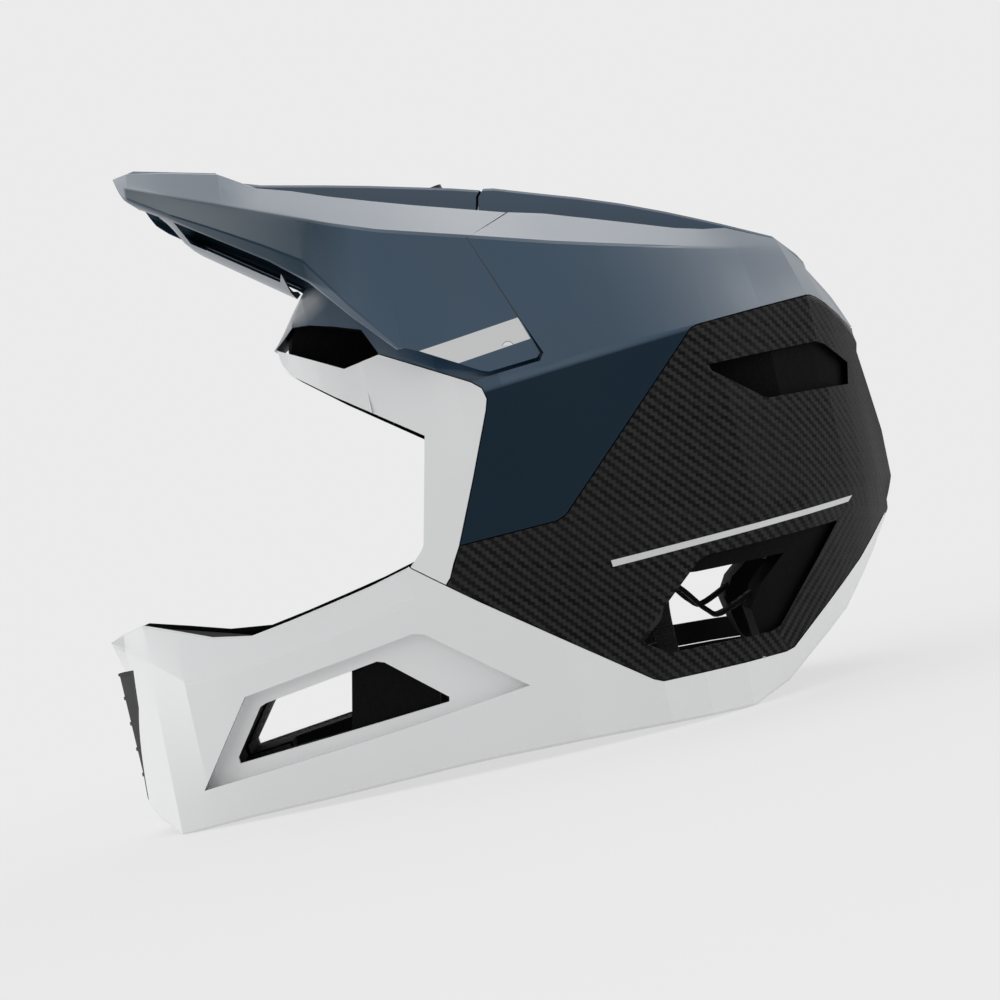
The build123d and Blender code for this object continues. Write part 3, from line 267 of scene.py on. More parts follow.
class HelmetSizes(PropertyGroup):
    """Sizes of the weave, the cloth and the view."""

    tow_width: FloatProperty(
        name="Tow width", description="Width of one tow of the carbon weave", default=0.0015,
        unit="LENGTH", subtype="DISTANCE",
    )
    cloth_pitch: FloatProperty(
        name="Cloth pitch", description="Distance between the threads of the pad cloth", default=0.0012,
        unit="LENGTH", subtype="DISTANCE",
    )
    webbing_pitch: FloatProperty(
        name="Webbing pitch", description="Distance between the threads of the chin strap", default=0.0016,
        unit="LENGTH", subtype="DISTANCE",
    )
    camera_distance: FloatProperty(
        name="Camera distance", description="From the camera to the mid plane", default=VIEW_DISTANCE,
        unit="LENGTH", subtype="DISTANCE",
    )


# Shader nodes
# Sockets of a Mix node, which only their numbers tell apart: first value, second value and result
MIX_SOCKETS = {"FLOAT": (2, 3, 0), "RGBA": (6, 7, 2)}


def feed(links, socket, value):
    """Link a socket to another one, or give it a plain value."""
    if isinstance(value, NodeSocket):
        links.new(value, socket)
    else:
        socket.default_value = value


def maths(nodes, links, kind, *values, clamp=False):
    """Math node on sockets or plain numbers; its result."""
    node = nodes.new("ShaderNodeMath")
    node.operation = kind
    node.use_clamp = clamp
    for number, value in enumerate(values):
        feed(links, node.inputs[number], value)
    return node.outputs[0]


def mixed(nodes, links, factor, first, second, kind="FLOAT"):
    """Mix node on sockets or plain values; its result."""
    node = nodes.new("ShaderNodeMix")
    node.data_type = kind
    lower, upper, result = MIX_SOCKETS[kind]
    feed(links, node.inputs["Factor"], factor)
    feed(links, node.inputs[lower], first)
    feed(links, node.inputs[upper], second)
    return node.outputs[result]


def scaled(nodes, links, colour, factor):
    """A colour times a factor."""
    node = nodes.new("ShaderNodeVectorMath")
    node.operation = "SCALE"
    feed(links, node.inputs[0], colour)
    feed(links, node.inputs["Scale"], factor)
    return node.outputs["Vector"]


def ramped(nodes, links, value, start, end, low=0.0, high=1.0, kind="LINEAR"):
    """A value that goes from low to high as another goes from start to end."""
    node = nodes.new("ShaderNodeMapRange")
    node.interpolation_type = kind
    node.inputs["From Min"].default_value = start
    node.inputs["From Max"].default_value = end
    node.inputs["To Min"].default_value = low
    node.inputs["To Max"].default_value = high
    links.new(value, node.inputs["Value"])
    return node.outputs[0]


def coordinates(nodes, links, vector):
    """The three coordinates of a vector, by name."""
    node = nodes.new("ShaderNodeSeparateXYZ")
    links.new(vector, node.inputs[0])
    return node.outputs


def noise(nodes, links, place, detail, scale=None):
    """Noise texture; its node."""
    node = nodes.new("ShaderNodeTexNoise")
    node.inputs["Detail"].default_value = detail
    if scale is not None:
        node.inputs["Scale"].default_value = scale
    links.new(place, node.inputs["Vector"])
    return node


# Shader groups
GROUPS = {}


def new_group(name, inputs, outputs):
    """Empty shader group with named sockets: its tree, and its input and output nodes."""
    group = bpy.data.node_groups.new(name, "ShaderNodeTree")
    for label, kind, value in inputs:
        made = group.interface.new_socket(name=label, in_out="INPUT", socket_type=kind)
        if value is not None:
            made.default_value = value
    for label, kind in outputs:
        group.interface.new_socket(name=label, in_out="OUTPUT", socket_type=kind)
    return group, group.nodes.new("NodeGroupInput"), group.nodes.new("NodeGroupOutput")


def placed(nodes, links, place, name, maker, *given):
    """Node of a shared group in a material; the group is made the first time it is asked for."""
    if name not in GROUPS:
        GROUPS[name] = maker(*given)
    node = nodes.new("ShaderNodeGroup")
    node.node_tree = GROUPS[name]
    links.new(place, node.inputs["Vector"])
    return node


def grain_group():
    """Fine unevenness of a moulded or painted surface: a colour shade, a roughness shift and a height."""
    group, given, put = new_group(
        "surface_grain",
        [
            ("Vector", "NodeSocketVector", None),
            ("Scale", "NodeSocketFloat", 900.0),
            ("Colour", "NodeSocketColor", (0.8, 0.8, 0.8, 1)),
            ("Shade", "NodeSocketFloat", 0.05),
            ("Roughness", "NodeSocketFloat", 0.4),
            ("Spread", "NodeSocketFloat", 0.05),
        ],
        [("Colour", "NodeSocketColor"), ("Roughness", "NodeSocketFloat"), ("Height", "NodeSocketFloat")],
    )
    nodes, links = group.nodes, group.links
    place = given.outputs["Vector"]
    fine = noise(nodes, links, place, detail=3.0)
    broad = noise(nodes, links, place, detail=4.0, scale=14.0)
    links.new(given.outputs["Scale"], fine.inputs["Scale"])
    centred = maths(nodes, links, "SUBTRACT", broad.outputs["Fac"], 0.5)
    factor = maths(nodes, links, "MULTIPLY_ADD", centred, given.outputs["Shade"], 1.0)
    links.new(scaled(nodes, links, given.outputs["Colour"], factor), put.inputs["Colour"])
    shifted = maths(nodes, links, "MULTIPLY_ADD", centred, given.outputs["Spread"], given.outputs["Roughness"])
    links.new(shifted, put.inputs["Roughness"])
    links.new(fine.outputs["Fac"], put.inputs["Height"])
    return group


def outline_group(name, places, softness):
    """Mask that is 1 inside a convex outline of the side view, on both sides of the helmet.

    Softness is half the width of its edge, one value or one for each side of the outline.
    """
    points = side_spots(places)
    widths = softness if isinstance(softness, tuple) else (softness,) * len(points)
    group, given, put = new_group(name, [("Vector", "NodeSocketVector", None)], [("Mask", "NodeSocketFloat")])
    nodes, links = group.nodes, group.links
    total = None
    middle = sum(points, Vector()) / len(points)
    for here, after, width in zip(points, points[1:] + points[:1], widths):
        normal = Vector((0, -(after - here).z, (after - here).y)).normalized()
        if normal.dot(middle - here) < 0:
            normal = -normal
        dot = nodes.new("ShaderNodeVectorMath")
        dot.operation = "DOT_PRODUCT"
        links.new(given.outputs["Vector"], dot.inputs[0])
        dot.inputs[1].default_value = normal
        edge = normal.dot(here)
        inside = ramped(nodes, links, dot.outputs["Value"], edge - width, edge + width)
        total = inside if total is None else maths(nodes, links, "MULTIPLY", total, inside)
    links.new(total, put.inputs["Mask"])
    return group


def twill_group():
    """Two by two twill: where warp tows lie on top, and the rounded height of each tow."""
    group, given, put = new_group(
        "carbon_twill",
        [("Vector", "NodeSocketVector", None), ("Tow", "NodeSocketFloat", 0.0015)],
        [("Warp", "NodeSocketFloat"), ("Height", "NodeSocketFloat"), ("Tow Shade", "NodeSocketFloat")],
    )
    nodes, links = group.nodes, group.links
    spots = coordinates(nodes, links, given.outputs["Vector"])
    cells = []
    for label in ("X", "Y"):
        count = maths(nodes, links, "DIVIDE", spots[label], given.outputs["Tow"])
        whole = maths(nodes, links, "FLOOR", count)
        part = maths(nodes, links, "SUBTRACT", count, whole)
        cells.append((whole, part))
    (first, first_part), (second, second_part) = cells
    tows_a_repeat, last_on_top = 4.0, 1.5
    step = maths(nodes, links, "FLOORED_MODULO", maths(nodes, links, "ADD", first, second), tows_a_repeat)
    warp = maths(nodes, links, "LESS_THAN", step, last_on_top)
    links.new(warp, put.inputs["Warp"])
    rounds = []
    for part in (first_part, second_part):
        wave = maths(nodes, links, "SINE", maths(nodes, links, "MULTIPLY", part, math.pi))
        rounds.append(maths(nodes, links, "POWER", wave, 0.5))
    links.new(mixed(nodes, links, warp, rounds[1], rounds[0]), put.inputs["Height"])
    # Each tow has a slightly different shade, from a sine that is different for each
    tow_shades = []
    spread = 43.7585
    for whole, seed in ((first, 12.9898), (second, 78.233)):
        wave = maths(nodes, links, "SINE", maths(nodes, links, "MULTIPLY", whole, seed))
        tow_shades.append(maths(nodes, links, "FRACT", maths(nodes, links, "MULTIPLY", wave, spread)))
    links.new(mixed(nodes, links, warp, tow_shades[1], tow_shades[0]), put.inputs["Tow Shade"])
    return group


# Materials
MATERIALS = {}


def blank_material(name, preview):
    """Material with a Principled shader and Object coordinates."""
    material = bpy.data.materials.new(name)
    material.use_nodes = True
    material.diffuse_color = (*preview, 1)
    nodes, links = material.node_tree.nodes, material.node_tree.links
    place = nodes.new("ShaderNodeTexCoord")
    return material, nodes, links, nodes["Principled BSDF"], place.outputs["Object"]


def add_bump(nodes, links, shader, height, strength, distance):
    """Bump from a height that feeds the shader's normal."""
    bump = nodes.new("ShaderNodeBump")
    bump.inputs["Strength"].default_value = strength
    bump.inputs["Distance"].default_value = distance
    links.new(height, bump.inputs["Height"])
    links.new(bump.outputs["Normal"], shader.inputs["Normal"])


def grained(nodes, links, place, colour, shade, roughness, spread, scale):
    """The grain group placed in a material with its own values."""
    node = placed(nodes, links, place, "surface_grain", grain_group)
    node.inputs["Scale"].default_value = scale
    node.inputs["Colour"].default_value = (*colour, 1)
    node.inputs["Shade"].default_value = shade
    node.inputs["Roughness"].default_value = roughness
    node.inputs["Spread"].default_value = spread
    return node


def outlined(nodes, links, place, name, outline, softness=SHARP):
    """Mask of an outline of the side view, placed in a material."""
    return placed(nodes, links, place, name, outline_group, name, outline, softness).outputs["Mask"]


def satin_paint(name, colour, roughness, coat, stripes=(), matt=None):
    """Satin paint with faint orange peel; stripes are outlines in another colour, among them painted shade,
    highlight and reflection, one of them matt.
    """
    material, nodes, links, shader, place = blank_material(name, colour)
    grain = grained(
        nodes, links, place, colour, shade=0.06, roughness=roughness, spread=0.06, scale=PAINT_GRAIN
    )
    result = grain.outputs["Colour"]
    for label, outline, outline_colour, softness in stripes:
        mask = outlined(nodes, links, place, label, outline, softness)
        result = mixed(nodes, links, mask, result, (*outline_colour, 1), "RGBA")
        if label == matt:
            links.new(maths(nodes, links, "MULTIPLY_ADD", mask, -coat, coat), shader.inputs["Coat Weight"])
    links.new(result, shader.inputs["Base Color"])
    links.new(grain.outputs["Roughness"], shader.inputs["Roughness"])
    shader.inputs["Coat Weight"].default_value = coat
    shader.inputs["Coat Roughness"].default_value = 0.34
    shader.inputs["Specular IOR Level"].default_value = 0.12
    add_bump(nodes, links, shader, grain.outputs["Height"], strength=0.12, distance=0.00005)
    return material


def carbon_weave(name, colours, sizes):
    """Satin carbon twill, its warp tows lighter than its weft tows as a painted sheen, with a light stripe
    across it.
    """
    material, nodes, links, shader, place = blank_material(name, colours.carbon)
    spots = coordinates(nodes, links, place)
    # Round the helmet the weave follows the turn about an upright axis, so it isn't drawn out at the rear
    wide = maths(nodes, links, "ABSOLUTE", spots["X"])
    behind = maths(nodes, links, "SUBTRACT", spots["Y"], WEAVE_AXIS_BACK)
    turn = maths(nodes, links, "ARCTAN2", behind, maths(nodes, links, "ADD", wide, WEAVE_AXIS_IN))
    round_way = maths(nodes, links, "MULTIPLY", turn, WEAVE_REACH)
    tilted = maths(nodes, links, "MULTIPLY", spots["Y"], math.tan(WORN_TILT))
    up_way = maths(nodes, links, "ADD", spots["Z"], tilted)
    # On the facet behind the lower vent the tows lean the other way
    lean = maths(
        nodes, links, "MULTIPLY_ADD", outlined(nodes, links, place, "rear_facet", REAR_FACET), -2.0, 1.0
    )
    leaning = maths(nodes, links, "MULTIPLY", round_way, lean)
    joined = nodes.new("ShaderNodeCombineXYZ")
    links.new(maths(nodes, links, "ADD", leaning, WEAVE_START), joined.inputs["X"])
    links.new(maths(nodes, links, "ADD", up_way, WEAVE_START), joined.inputs["Y"])
    weave = placed(nodes, links, joined.outputs[0], "carbon_twill", twill_group)
    weave.inputs["Tow"].default_value = sizes.tow_width
    # Painted sheen: warp tows lighter than weft tows, for the light that the fibres reflect; each tow also gets
    # its own random shade
    weft_tone, warp_sheen, tow_lift = 0.45, 1.35, 0.45
    tone = maths(nodes, links, "MULTIPLY_ADD", weave.outputs["Warp"], warp_sheen, weft_tone)
    tone = maths(nodes, links, "MULTIPLY_ADD", weave.outputs["Tow Shade"], tow_lift, tone)
    grain = grained(
        nodes, links, place, colours.carbon, shade=0.1, roughness=0.36, spread=0.05, scale=PAINT_GRAIN
    )
    shaded = scaled(nodes, links, grain.outputs["Colour"], tone)
    mask = outlined(nodes, links, place, "panel_stripe", PANEL_STRIPE)
    links.new(mixed(nodes, links, mask, shaded, (*colours.stripe, 1), "RGBA"), shader.inputs["Base Color"])
    weft_roughness, warp_roughness = 0.34, 0.46
    uneven = maths(
        nodes, links, "MULTIPLY_ADD", weave.outputs["Warp"], warp_roughness - weft_roughness, weft_roughness
    )
    links.new(uneven, shader.inputs["Roughness"])
    shader.inputs["Specular IOR Level"].default_value = 0.03
    bare = maths(nodes, links, "SUBTRACT", 1.0, mask)
    height = maths(nodes, links, "MULTIPLY", weave.outputs["Height"], bare)
    add_bump(nodes, links, shader, height, strength=0.35, distance=0.0002)
    return material


def moulded_plastic(name, colour, roughness=0.5, scale=PLASTIC_GRAIN):
    """Matt moulded plastic with a fine spark-eroded grain."""
    material, nodes, links, shader, place = blank_material(name, colour)
    grain = grained(nodes, links, place, colour, shade=0.15, roughness=roughness, spread=0.1, scale=scale)
    links.new(grain.outputs["Colour"], shader.inputs["Base Color"])
    links.new(grain.outputs["Roughness"], shader.inputs["Roughness"])
    shader.inputs["Specular IOR Level"].default_value = 0.15
    add_bump(nodes, links, shader, grain.outputs["Height"], strength=0.35, distance=0.00012)
    return material


def bead_foam(name, colour):
    """Moulded bead foam: close-packed beads with dark seams between them."""
    material, nodes, links, shader, place = blank_material(name, colour)
    beads = nodes.new("ShaderNodeTexVoronoi")
    beads.inputs["Scale"].default_value = 420.0
    beads.feature = "F1"
    links.new(place, beads.inputs["Vector"])
    fine = noise(nodes, links, place, detail=2.0, scale=2400.0)
    contrast, darkest = 2.6, -0.3
    lightness = maths(nodes, links, "MULTIPLY_ADD", fine.outputs["Fac"], contrast, darkest)
    links.new(scaled(nodes, links, colour, lightness), shader.inputs["Base Color"])
    shader.inputs["Roughness"].default_value = 0.75
    shader.inputs["Specular IOR Level"].default_value = 0.05
    domes = maths(nodes, links, "SUBTRACT", 1.0, beads.outputs["Distance"])
    add_bump(nodes, links, shader, domes, strength=0.6, distance=0.0004)
    return material


def woven_cloth(name, colour, pitch, ribs=False):
    """Cloth or webbing whose threads cross on all three coordinates, with a soft sheen and painted shade in the
    dips between the threads.
    """
    material, nodes, links, shader, place = blank_material(name, colour)
    spots = coordinates(nodes, links, place)
    waves = []
    for label in ("X", "Y", "Z"):
        turn = maths(nodes, links, "MULTIPLY", spots[label], 2 * math.pi / pitch)
        waves.append(maths(nodes, links, "SINE", turn))
    height = maths(nodes, links, "MULTIPLY", waves[1], waves[2])
    height = maths(nodes, links, "ADD", height, maths(nodes, links, "MULTIPLY", waves[0], waves[2]))
    if ribs:
        height = maths(nodes, links, "ADD", height, waves[0])
    fuzz = noise(nodes, links, place, detail=5.0, scale=160.0)
    fuzz_contrast, darkest, thread_painted_shade = 0.7, 0.65, 0.16
    tone = maths(nodes, links, "MULTIPLY_ADD", fuzz.outputs["Fac"], fuzz_contrast, darkest)
    # Painted shade: the crests of the threads lighter and the dips between them darker
    tone = maths(nodes, links, "MULTIPLY_ADD", height, thread_painted_shade, tone)
    links.new(scaled(nodes, links, colour, tone), shader.inputs["Base Color"])
    shader.inputs["Roughness"].default_value = 0.85
    shader.inputs["Specular IOR Level"].default_value = 0.15
    shader.inputs["Sheen Weight"].default_value = 0.25
    shader.inputs["Sheen Roughness"].default_value = 0.5
    add_bump(nodes, links, shader, height, strength=0.4, distance=pitch / 4)
    return material


def turned_metal(name, colour, roughness):
    """Bare or anodised metal with fine turning marks."""
    material, nodes, links, shader, place = blank_material(name, colour)
    grain = grained(nodes, links, place, colour, shade=0.1, roughness=roughness, spread=0.12, scale=METAL_GRAIN)
    links.new(grain.outputs["Colour"], shader.inputs["Base Color"])
    links.new(grain.outputs["Roughness"], shader.inputs["Roughness"])
    shader.inputs["Metallic"].default_value = 1.0
    add_bump(nodes, links, shader, grain.outputs["Height"], strength=0.1, distance=0.00005)
    return material


def make_materials(colours, sizes):
    """All finishes, by name."""
    MATERIALS.update(
        blue_paint=satin_paint(
            "blue_paint", colours.blue, roughness=0.45, coat=0.9, matt="navy_facet",
            stripes=[
                # Lower facet darker: partly a second paint tone, partly painted shade
                ("navy_facet", NAVY_FACET_AND_SHADE, colours.navy, ROUNDED),
                # Hood lighter: painted highlight
                ("hood_light", HOOD_PAINTED_HIGHLIGHT, HOOD_HIGHLIGHT_GREY, FADING),
            ],
        ),
        visor_paint=satin_paint(
            "visor_paint", colours.blue, roughness=0.45, coat=0.9, matt="visor_flank",
            stripes=[
                # Visor flank darker: painted reflection
                ("visor_flank", VISOR_FLANK_REFLECTION, FLANK_REFLECTION_BLUE, FLANK_REFLECTION_EDGES),
                ("visor_stripe", VISOR_STRIPE, colours.stripe, SHARP),
                # Black line on the visor's rear edge: painted shadow of the gap to the shell
                ("visor_seam", VISOR_SEAM_SHADOW, colours.black, SHARP),
            ],
        ),
        white_paint=satin_paint(
            "white_paint", colours.white, roughness=0.48, coat=0.05,
            stripes=[("vent_lining", LOWER_VENT_BLACK, colours.black, SPRAYED)],
        ),
        carbon=carbon_weave("carbon", colours, sizes),
        black_plastic=moulded_plastic("black_plastic", colours.black),
        foam=bead_foam("foam", colours.foam),
        pad_cloth=woven_cloth("pad_cloth", colours.cloth, sizes.cloth_pitch),
        webbing=woven_cloth("webbing", colours.webbing, sizes.webbing_pitch, ribs=True),
        steel=turned_metal("steel", STEEL_COLOUR, roughness=0.3),
        alloy=turned_metal("alloy", ALLOY_COLOUR, roughness=0.38),
        dark_rubber=moulded_plastic("dark_rubber", colours.black, roughness=0.7, scale=RUBBER_GRAIN),
    )


def put_material(thing, name):
    """Give an object one finish."""
    thing.data.materials.clear()
    thing.data.materials.append(MATERIALS[name])


# Meshes
def node_object(node):
    """The frame's object of a node."""
    return bpy.data.objects[node]


def new_piece(name, mesh_source, body, material):
    """Object at the origin from a bmesh, riding on a body."""
    mesh = bpy.data.meshes.new(name)
    mesh_source.to_mesh(mesh)
    mesh_source.free()
    thing = bpy.data.objects.new(name, mesh)
    bpy.context.collection.objects.link(thing)
    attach(thing, body)
    put_material(thing, material)
    return thing


def merged_copy(node):
    """Copy of a frame node's mesh with its triangles joined and its flat faces whole."""
    bm = bmesh.new()
    bm.from_mesh(node_object(node).data)
    bmesh.ops.remove_doubles(bm, verts=bm.verts, dist=MERGE_DISTANCE)
    bmesh.ops.dissolve_degenerate(bm, edges=bm.edges, dist=MERGE_DISTANCE)
    bmesh.ops.dissolve_limit(
        bm, angle_limit=FLAT_ANGLE, use_dissolve_boundaries=False, verts=bm.verts, edges=bm.edges,
        delimit=set(),
    )
    return bm


def smooth_with_creases(bm, angle):
    """Smooth shading that breaks at folds sharper than angle."""
    for face in bm.faces:
        face.smooth = True
    for edge in bm.edges:
        edge.smooth = edge.calc_face_angle(0.0) < angle


def round_edges(bm, radius, angle):
    """Bevel every fold sharper than angle."""
    folds = [edge for edge in bm.edges if len(edge.link_faces) == 2 and edge.calc_face_angle(0.0) > angle]
    bmesh.ops.bevel(
        bm, geom=folds, offset=radius, offset_type="OFFSET", segments=2,
        profile=0.5, affect="EDGES", clamp_overlap=True, material=-1,
    )
    bmesh.ops.remove_doubles(bm, verts=bm.verts, dist=MERGE_DISTANCE / 2)
    bmesh.ops.dissolve_degenerate(bm, edges=bm.edges, dist=MERGE_DISTANCE / 2)


def cut_large_faces(bm):
    """Triangles in place of faces with more than four corners."""
    bmesh.ops.triangulate(bm, faces=[face for face in bm.faces if len(face.verts) > 4])


def split_long_edges(bm, longest):
    """Cut long edges in halves until every one is at most longest, so that shading can change along them."""
    most_halvings = 5
    for _ in range(most_halvings):
        long_edges = [edge for edge in bm.edges if edge.calc_length() > longest]
        if not long_edges:
            return
        bmesh.ops.subdivide_edges(bm, edges=long_edges, cuts=1)
        cut_large_faces(bm)


def blend_normals(mesh, reach, angle):
    """Shading normals averaged over the surface within reach that folds less than angle."""
    least, own_share = 1e-15, 1e-12
    mesh.calc_loop_triangles()
    corners = np.array([vertex.co for vertex in mesh.vertices])
    triples = np.array([triangle.vertices for triangle in mesh.loop_triangles])
    first, second, third = corners[triples[:, 0]], corners[triples[:, 1]], corners[triples[:, 2]]
    normals = np.cross(second - first, third - first)
    areas = np.linalg.norm(normals, axis=1)
    normals /= np.maximum(areas, least)[:, None]
    tree = KDTree(len(triples))
    for number, middle in enumerate((first + second + third) / 3):
        tree.insert(middle, number)
    tree.balance()
    near = []
    for corner in corners:
        found = tree.find_range(corner, reach)
        picked = [number for _, number, _ in found]
        weights = [(1 - (distance / reach) ** 2) * areas[number] for _, number, distance in found]
        near.append((normals[picked], np.array(weights)))
    limit = math.cos(angle)
    blended = []
    for face in mesh.polygons:
        own = np.array(face.normal)
        for vertex in face.vertices:
            there, weights = near[vertex]
            total = own * own_share
            if len(weights):
                alike = np.clip((there @ own - limit) / (1 - limit), 0, 1)
                total = total + (there * (weights * alike)[:, None]).sum(axis=0)
            blended.append(total / max(np.linalg.norm(total), least))
    mesh.normals_split_custom_set(blended)


def dressed_node(node, body, material, reach=0.0, radius=0.0, angle=0.0):
    """Copy of a frame node that stands for it.

    Its shading is blended over reach, and its folds sharper than angle are rounded by radius.
    """
    bm = merged_copy(node)
    if radius:
        round_edges(bm, radius, angle)
    cut_large_faces(bm)
    if reach:
        split_long_edges(bm, reach)
    smooth_with_creases(bm, CREASE_ANGLE)
    thing = new_piece(f"{node}_dressed", bm, body, material)
    if reach:
        blend_normals(thing.data, reach, BLEND_ANGLE)
    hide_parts(node)
    return thing


def blacken_inside(thing):
    """Bare black plastic on the faces of a shell that look in at the head, and on the low ledge behind."""
    core_share, core_start = 0.35, 0.012
    inward_least, level_least, ledge_top = 0.45, 0.8, 0.07
    thing.data.materials.append(MATERIALS["black_plastic"])
    for face in thing.data.polygons:
        core = Vector((0, face.center.y * core_share + core_start, face.center.z))
        inward = (core - face.center).normalized()
        ledge = face.normal.z > level_least and face.center.y > 0 and face.center.z < ledge_top
        if ledge or face.normal.dot(inward) > inward_least:
            face.material_index = 1


def smooth_path(points, steps=6):
    """Points along a smooth curve through the given ones."""
    ends = [points[0], *points, points[-1]]
    path = []
    for before, here, after, beyond in zip(ends, ends[1:], ends[2:], ends[3:]):
        for number in range(steps):
            t = number / steps
            path.append(
                0.5 * (
                    2 * here + (after - before) * t + (2 * before - 5 * here + 4 * after - beyond) * t ** 2
                    + (3 * here - before - 3 * after + beyond) * t ** 3
                )
            )
    return [*path, points[-1]]


def ribbon(name, points, across, width, thickness, material):
    """Flat band on the helmet along a curve; across is the direction of its width."""
    path = smooth_path(points)
    bm = bmesh.new()
    rings = []
    for number, spot in enumerate(path):
        along = (path[min(number + 1, len(path) - 1)] - path[max(number - 1, 0)]).normalized()
        side = (across - along * across.dot(along)).normalized() * width / 2
        out = along.cross(side).normalized() * thickness / 2
        rings.append([bm.verts.new(spot + a * side + b * out) for a, b in ((1, 1), (-1, 1), (-1, -1), (1, -1))])
    for ring, after in zip(rings, rings[1:]):
        for one in range(4):
            two = (one + 1) % 4
            bm.faces.new((ring[one], ring[two], after[two], after[one]))
    bm.faces.new(rings[0][::-1])
    bm.faces.new(rings[-1])
    bmesh.ops.recalc_face_normals(bm, faces=bm.faces)
    round_edges(bm, thickness * BAND_ROUNDING_SHARE, BAND_FOLD)
    smooth_with_creases(bm, BAND_CREASE)
    return new_piece(name, bm, "helmet", material)


def screen_behind(name, node, cover, setback, material):
    """Mesh screen that spans the bars of a node: the hull of their bare front faces, set a little back."""
    walls = bmesh.new()
    walls.from_mesh(node_object(cover).data)
    tree = BVHTree.FromBMesh(walls)
    bars = bmesh.new()
    bars.from_mesh(node_object(node).data)
    spots = set()
    ahead = Vector((0, -1, 0))
    facing_least, clear = 0.4, 0.0001
    for face in bars.faces:
        start = face.calc_center_median() + ahead * clear
        if face.normal.dot(ahead) > facing_least and tree.ray_cast(start, ahead)[0] is None:
            spots.update(tuple(vert.co) for vert in face.verts)
    walls.free()
    bars.free()
    bm = bmesh.new()
    for spot in spots:
        bm.verts.new(Vector(spot) - ahead * setback)
    found = bmesh.ops.convex_hull(bm, input=bm.verts)
    bmesh.ops.delete(bm, geom=list(set(found["geom_interior"] + found["geom_unused"])), context="VERTS")
    smooth_with_creases(bm, SCREEN_CREASE)
    return new_piece(name, bm, "helmet", material)


def baked(thing):
    """Apply an object's modifiers to its mesh."""
    shape = bpy.data.meshes.new_from_object(thing.evaluated_get(bpy.context.evaluated_depsgraph_get()))
    thing.modifiers.clear()
    thing.data = shape


def puffed_pad(node, body, fill, voxel, swell):
    """Padded copy of a soft node: remeshed, drawn in a little, then swollen by cloth under pressure."""
    thing = new_piece(f"{node}_padded", merged_copy(node), body, "pad_cloth")
    remesh = thing.modifiers.new("remesh", "REMESH")
    remesh.mode = "VOXEL"
    remesh.voxel_size = voxel
    baked(thing)
    bm = bmesh.new()
    bm.from_mesh(thing.data)
    for _ in range(PAD_SMOOTHINGS):
        bmesh.ops.smooth_vert(bm, verts=bm.verts, factor=0.5, use_axis_x=True, use_axis_y=True, use_axis_z=True)
    bm.normal_update()
    for vert in bm.verts:
        vert.co -= vert.normal * swell * PAD_SHRINK_SHARE
    bm.to_mesh(thing.data)
    bm.free()
    before = [vert.co.copy() for vert in thing.data.vertices]
    cloth = thing.modifiers.new("cloth", "CLOTH")
    cloth.settings.quality = 4
    cloth.settings.use_pressure = True
    cloth.settings.uniform_pressure_force = PAD_PRESSURE
    cloth.settings.tension_stiffness = PAD_STIFFNESS
    cloth.settings.effector_weights.gravity = 0.0
    for number in range(1, PAD_FRAMES + 1):
        bpy.context.scene.frame_set(number)
    baked(thing)
    bpy.context.scene.frame_set(1)
    for vert, start in zip(thing.data.vertices, before):
        moved = vert.co - start
        if moved.length > swell:
            vert.co = start + moved * (swell / moved.length)
    bm = bmesh.new()
    bm.from_mesh(thing.data)
    bmesh.ops.subdivide_edges(bm, edges=bm.edges, cuts=1, use_grid_fill=True, smooth=0.6)
    for face in bm.faces:
        face.smooth = True
    bm.to_mesh(thing.data)
    bm.free()
    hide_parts(node)


# Studio
def seen_rays(nodes, links):
    """1 for rays from the camera, from gloss and through glass, which see the backdrop's own tone."""
    path = nodes.new("ShaderNodeLightPath")
    total = maths(nodes, links, "ADD", path.outputs["Is Camera Ray"], path.outputs["Is Glossy Ray"])
    return maths(nodes, links, "ADD", total, path.outputs["Is Transmission Ray"], clamp=True)


def floor_material(backdrop):
    """Pale floor that has the backdrop's tone away from the helmet and shows shadow round it."""
    material, nodes, links, shader, place = blank_material("studio_pale", backdrop)
    shader.inputs["Base Color"].default_value = FLOOR_COLOUR
    shader.inputs["Specular IOR Level"].default_value = 0.0
    shader.inputs["Roughness"].default_value = 0.9
    glow = nodes.new("ShaderNodeEmission")
    glow.inputs["Color"].default_value = (*backdrop, 1)
    seen = seen_rays(nodes, links)
    away = nodes.new("ShaderNodeVectorMath")
    away.operation = "LENGTH"
    links.new(place, away.inputs[0])
    fade = ramped(
        nodes, links, away.outputs["Value"], SHADOW_NEAR, SHADOW_FAR, SHADOW_SHARE, 1.0, kind="SMOOTHSTEP"
    )
    shown = maths(nodes, links, "MULTIPLY", seen, fade)
    unseen = maths(nodes, links, "MULTIPLY_ADD", seen, -UNSEEN_GLOW, UNSEEN_GLOW)
    mix = nodes.new("ShaderNodeMixShader")
    links.new(maths(nodes, links, "ADD", shown, unseen), mix.inputs["Fac"])
    links.new(shader.outputs[0], mix.inputs[1])
    links.new(glow.outputs[0], mix.inputs[2])
    links.new(mix.outputs[0], nodes["Material Output"].inputs["Surface"])
    return material


def studio_world(backdrop):
    """World that shows the backdrop and lights strongly from above, weakly from below."""
    world = bpy.data.worlds.new("studio_world")
    world.use_nodes = True
    nodes, links = world.node_tree.nodes, world.node_tree.links
    direction = nodes.new("ShaderNodeTexCoord")
    height = coordinates(nodes, links, direction.outputs["Generated"])["Z"]
    rise = ramped(nodes, links, height, SKY_LOWEST, SKY_HIGHEST)
    sky = mixed(nodes, links, rise, SKY_BELOW, SKY_ABOVE, "RGBA")
    shown = mixed(nodes, links, seen_rays(nodes, links), sky, (*backdrop, 1), "RGBA")
    links.new(shown, nodes["Background"].inputs["Color"])
    nodes["Background"].inputs["Strength"].default_value = 1.0
    return world


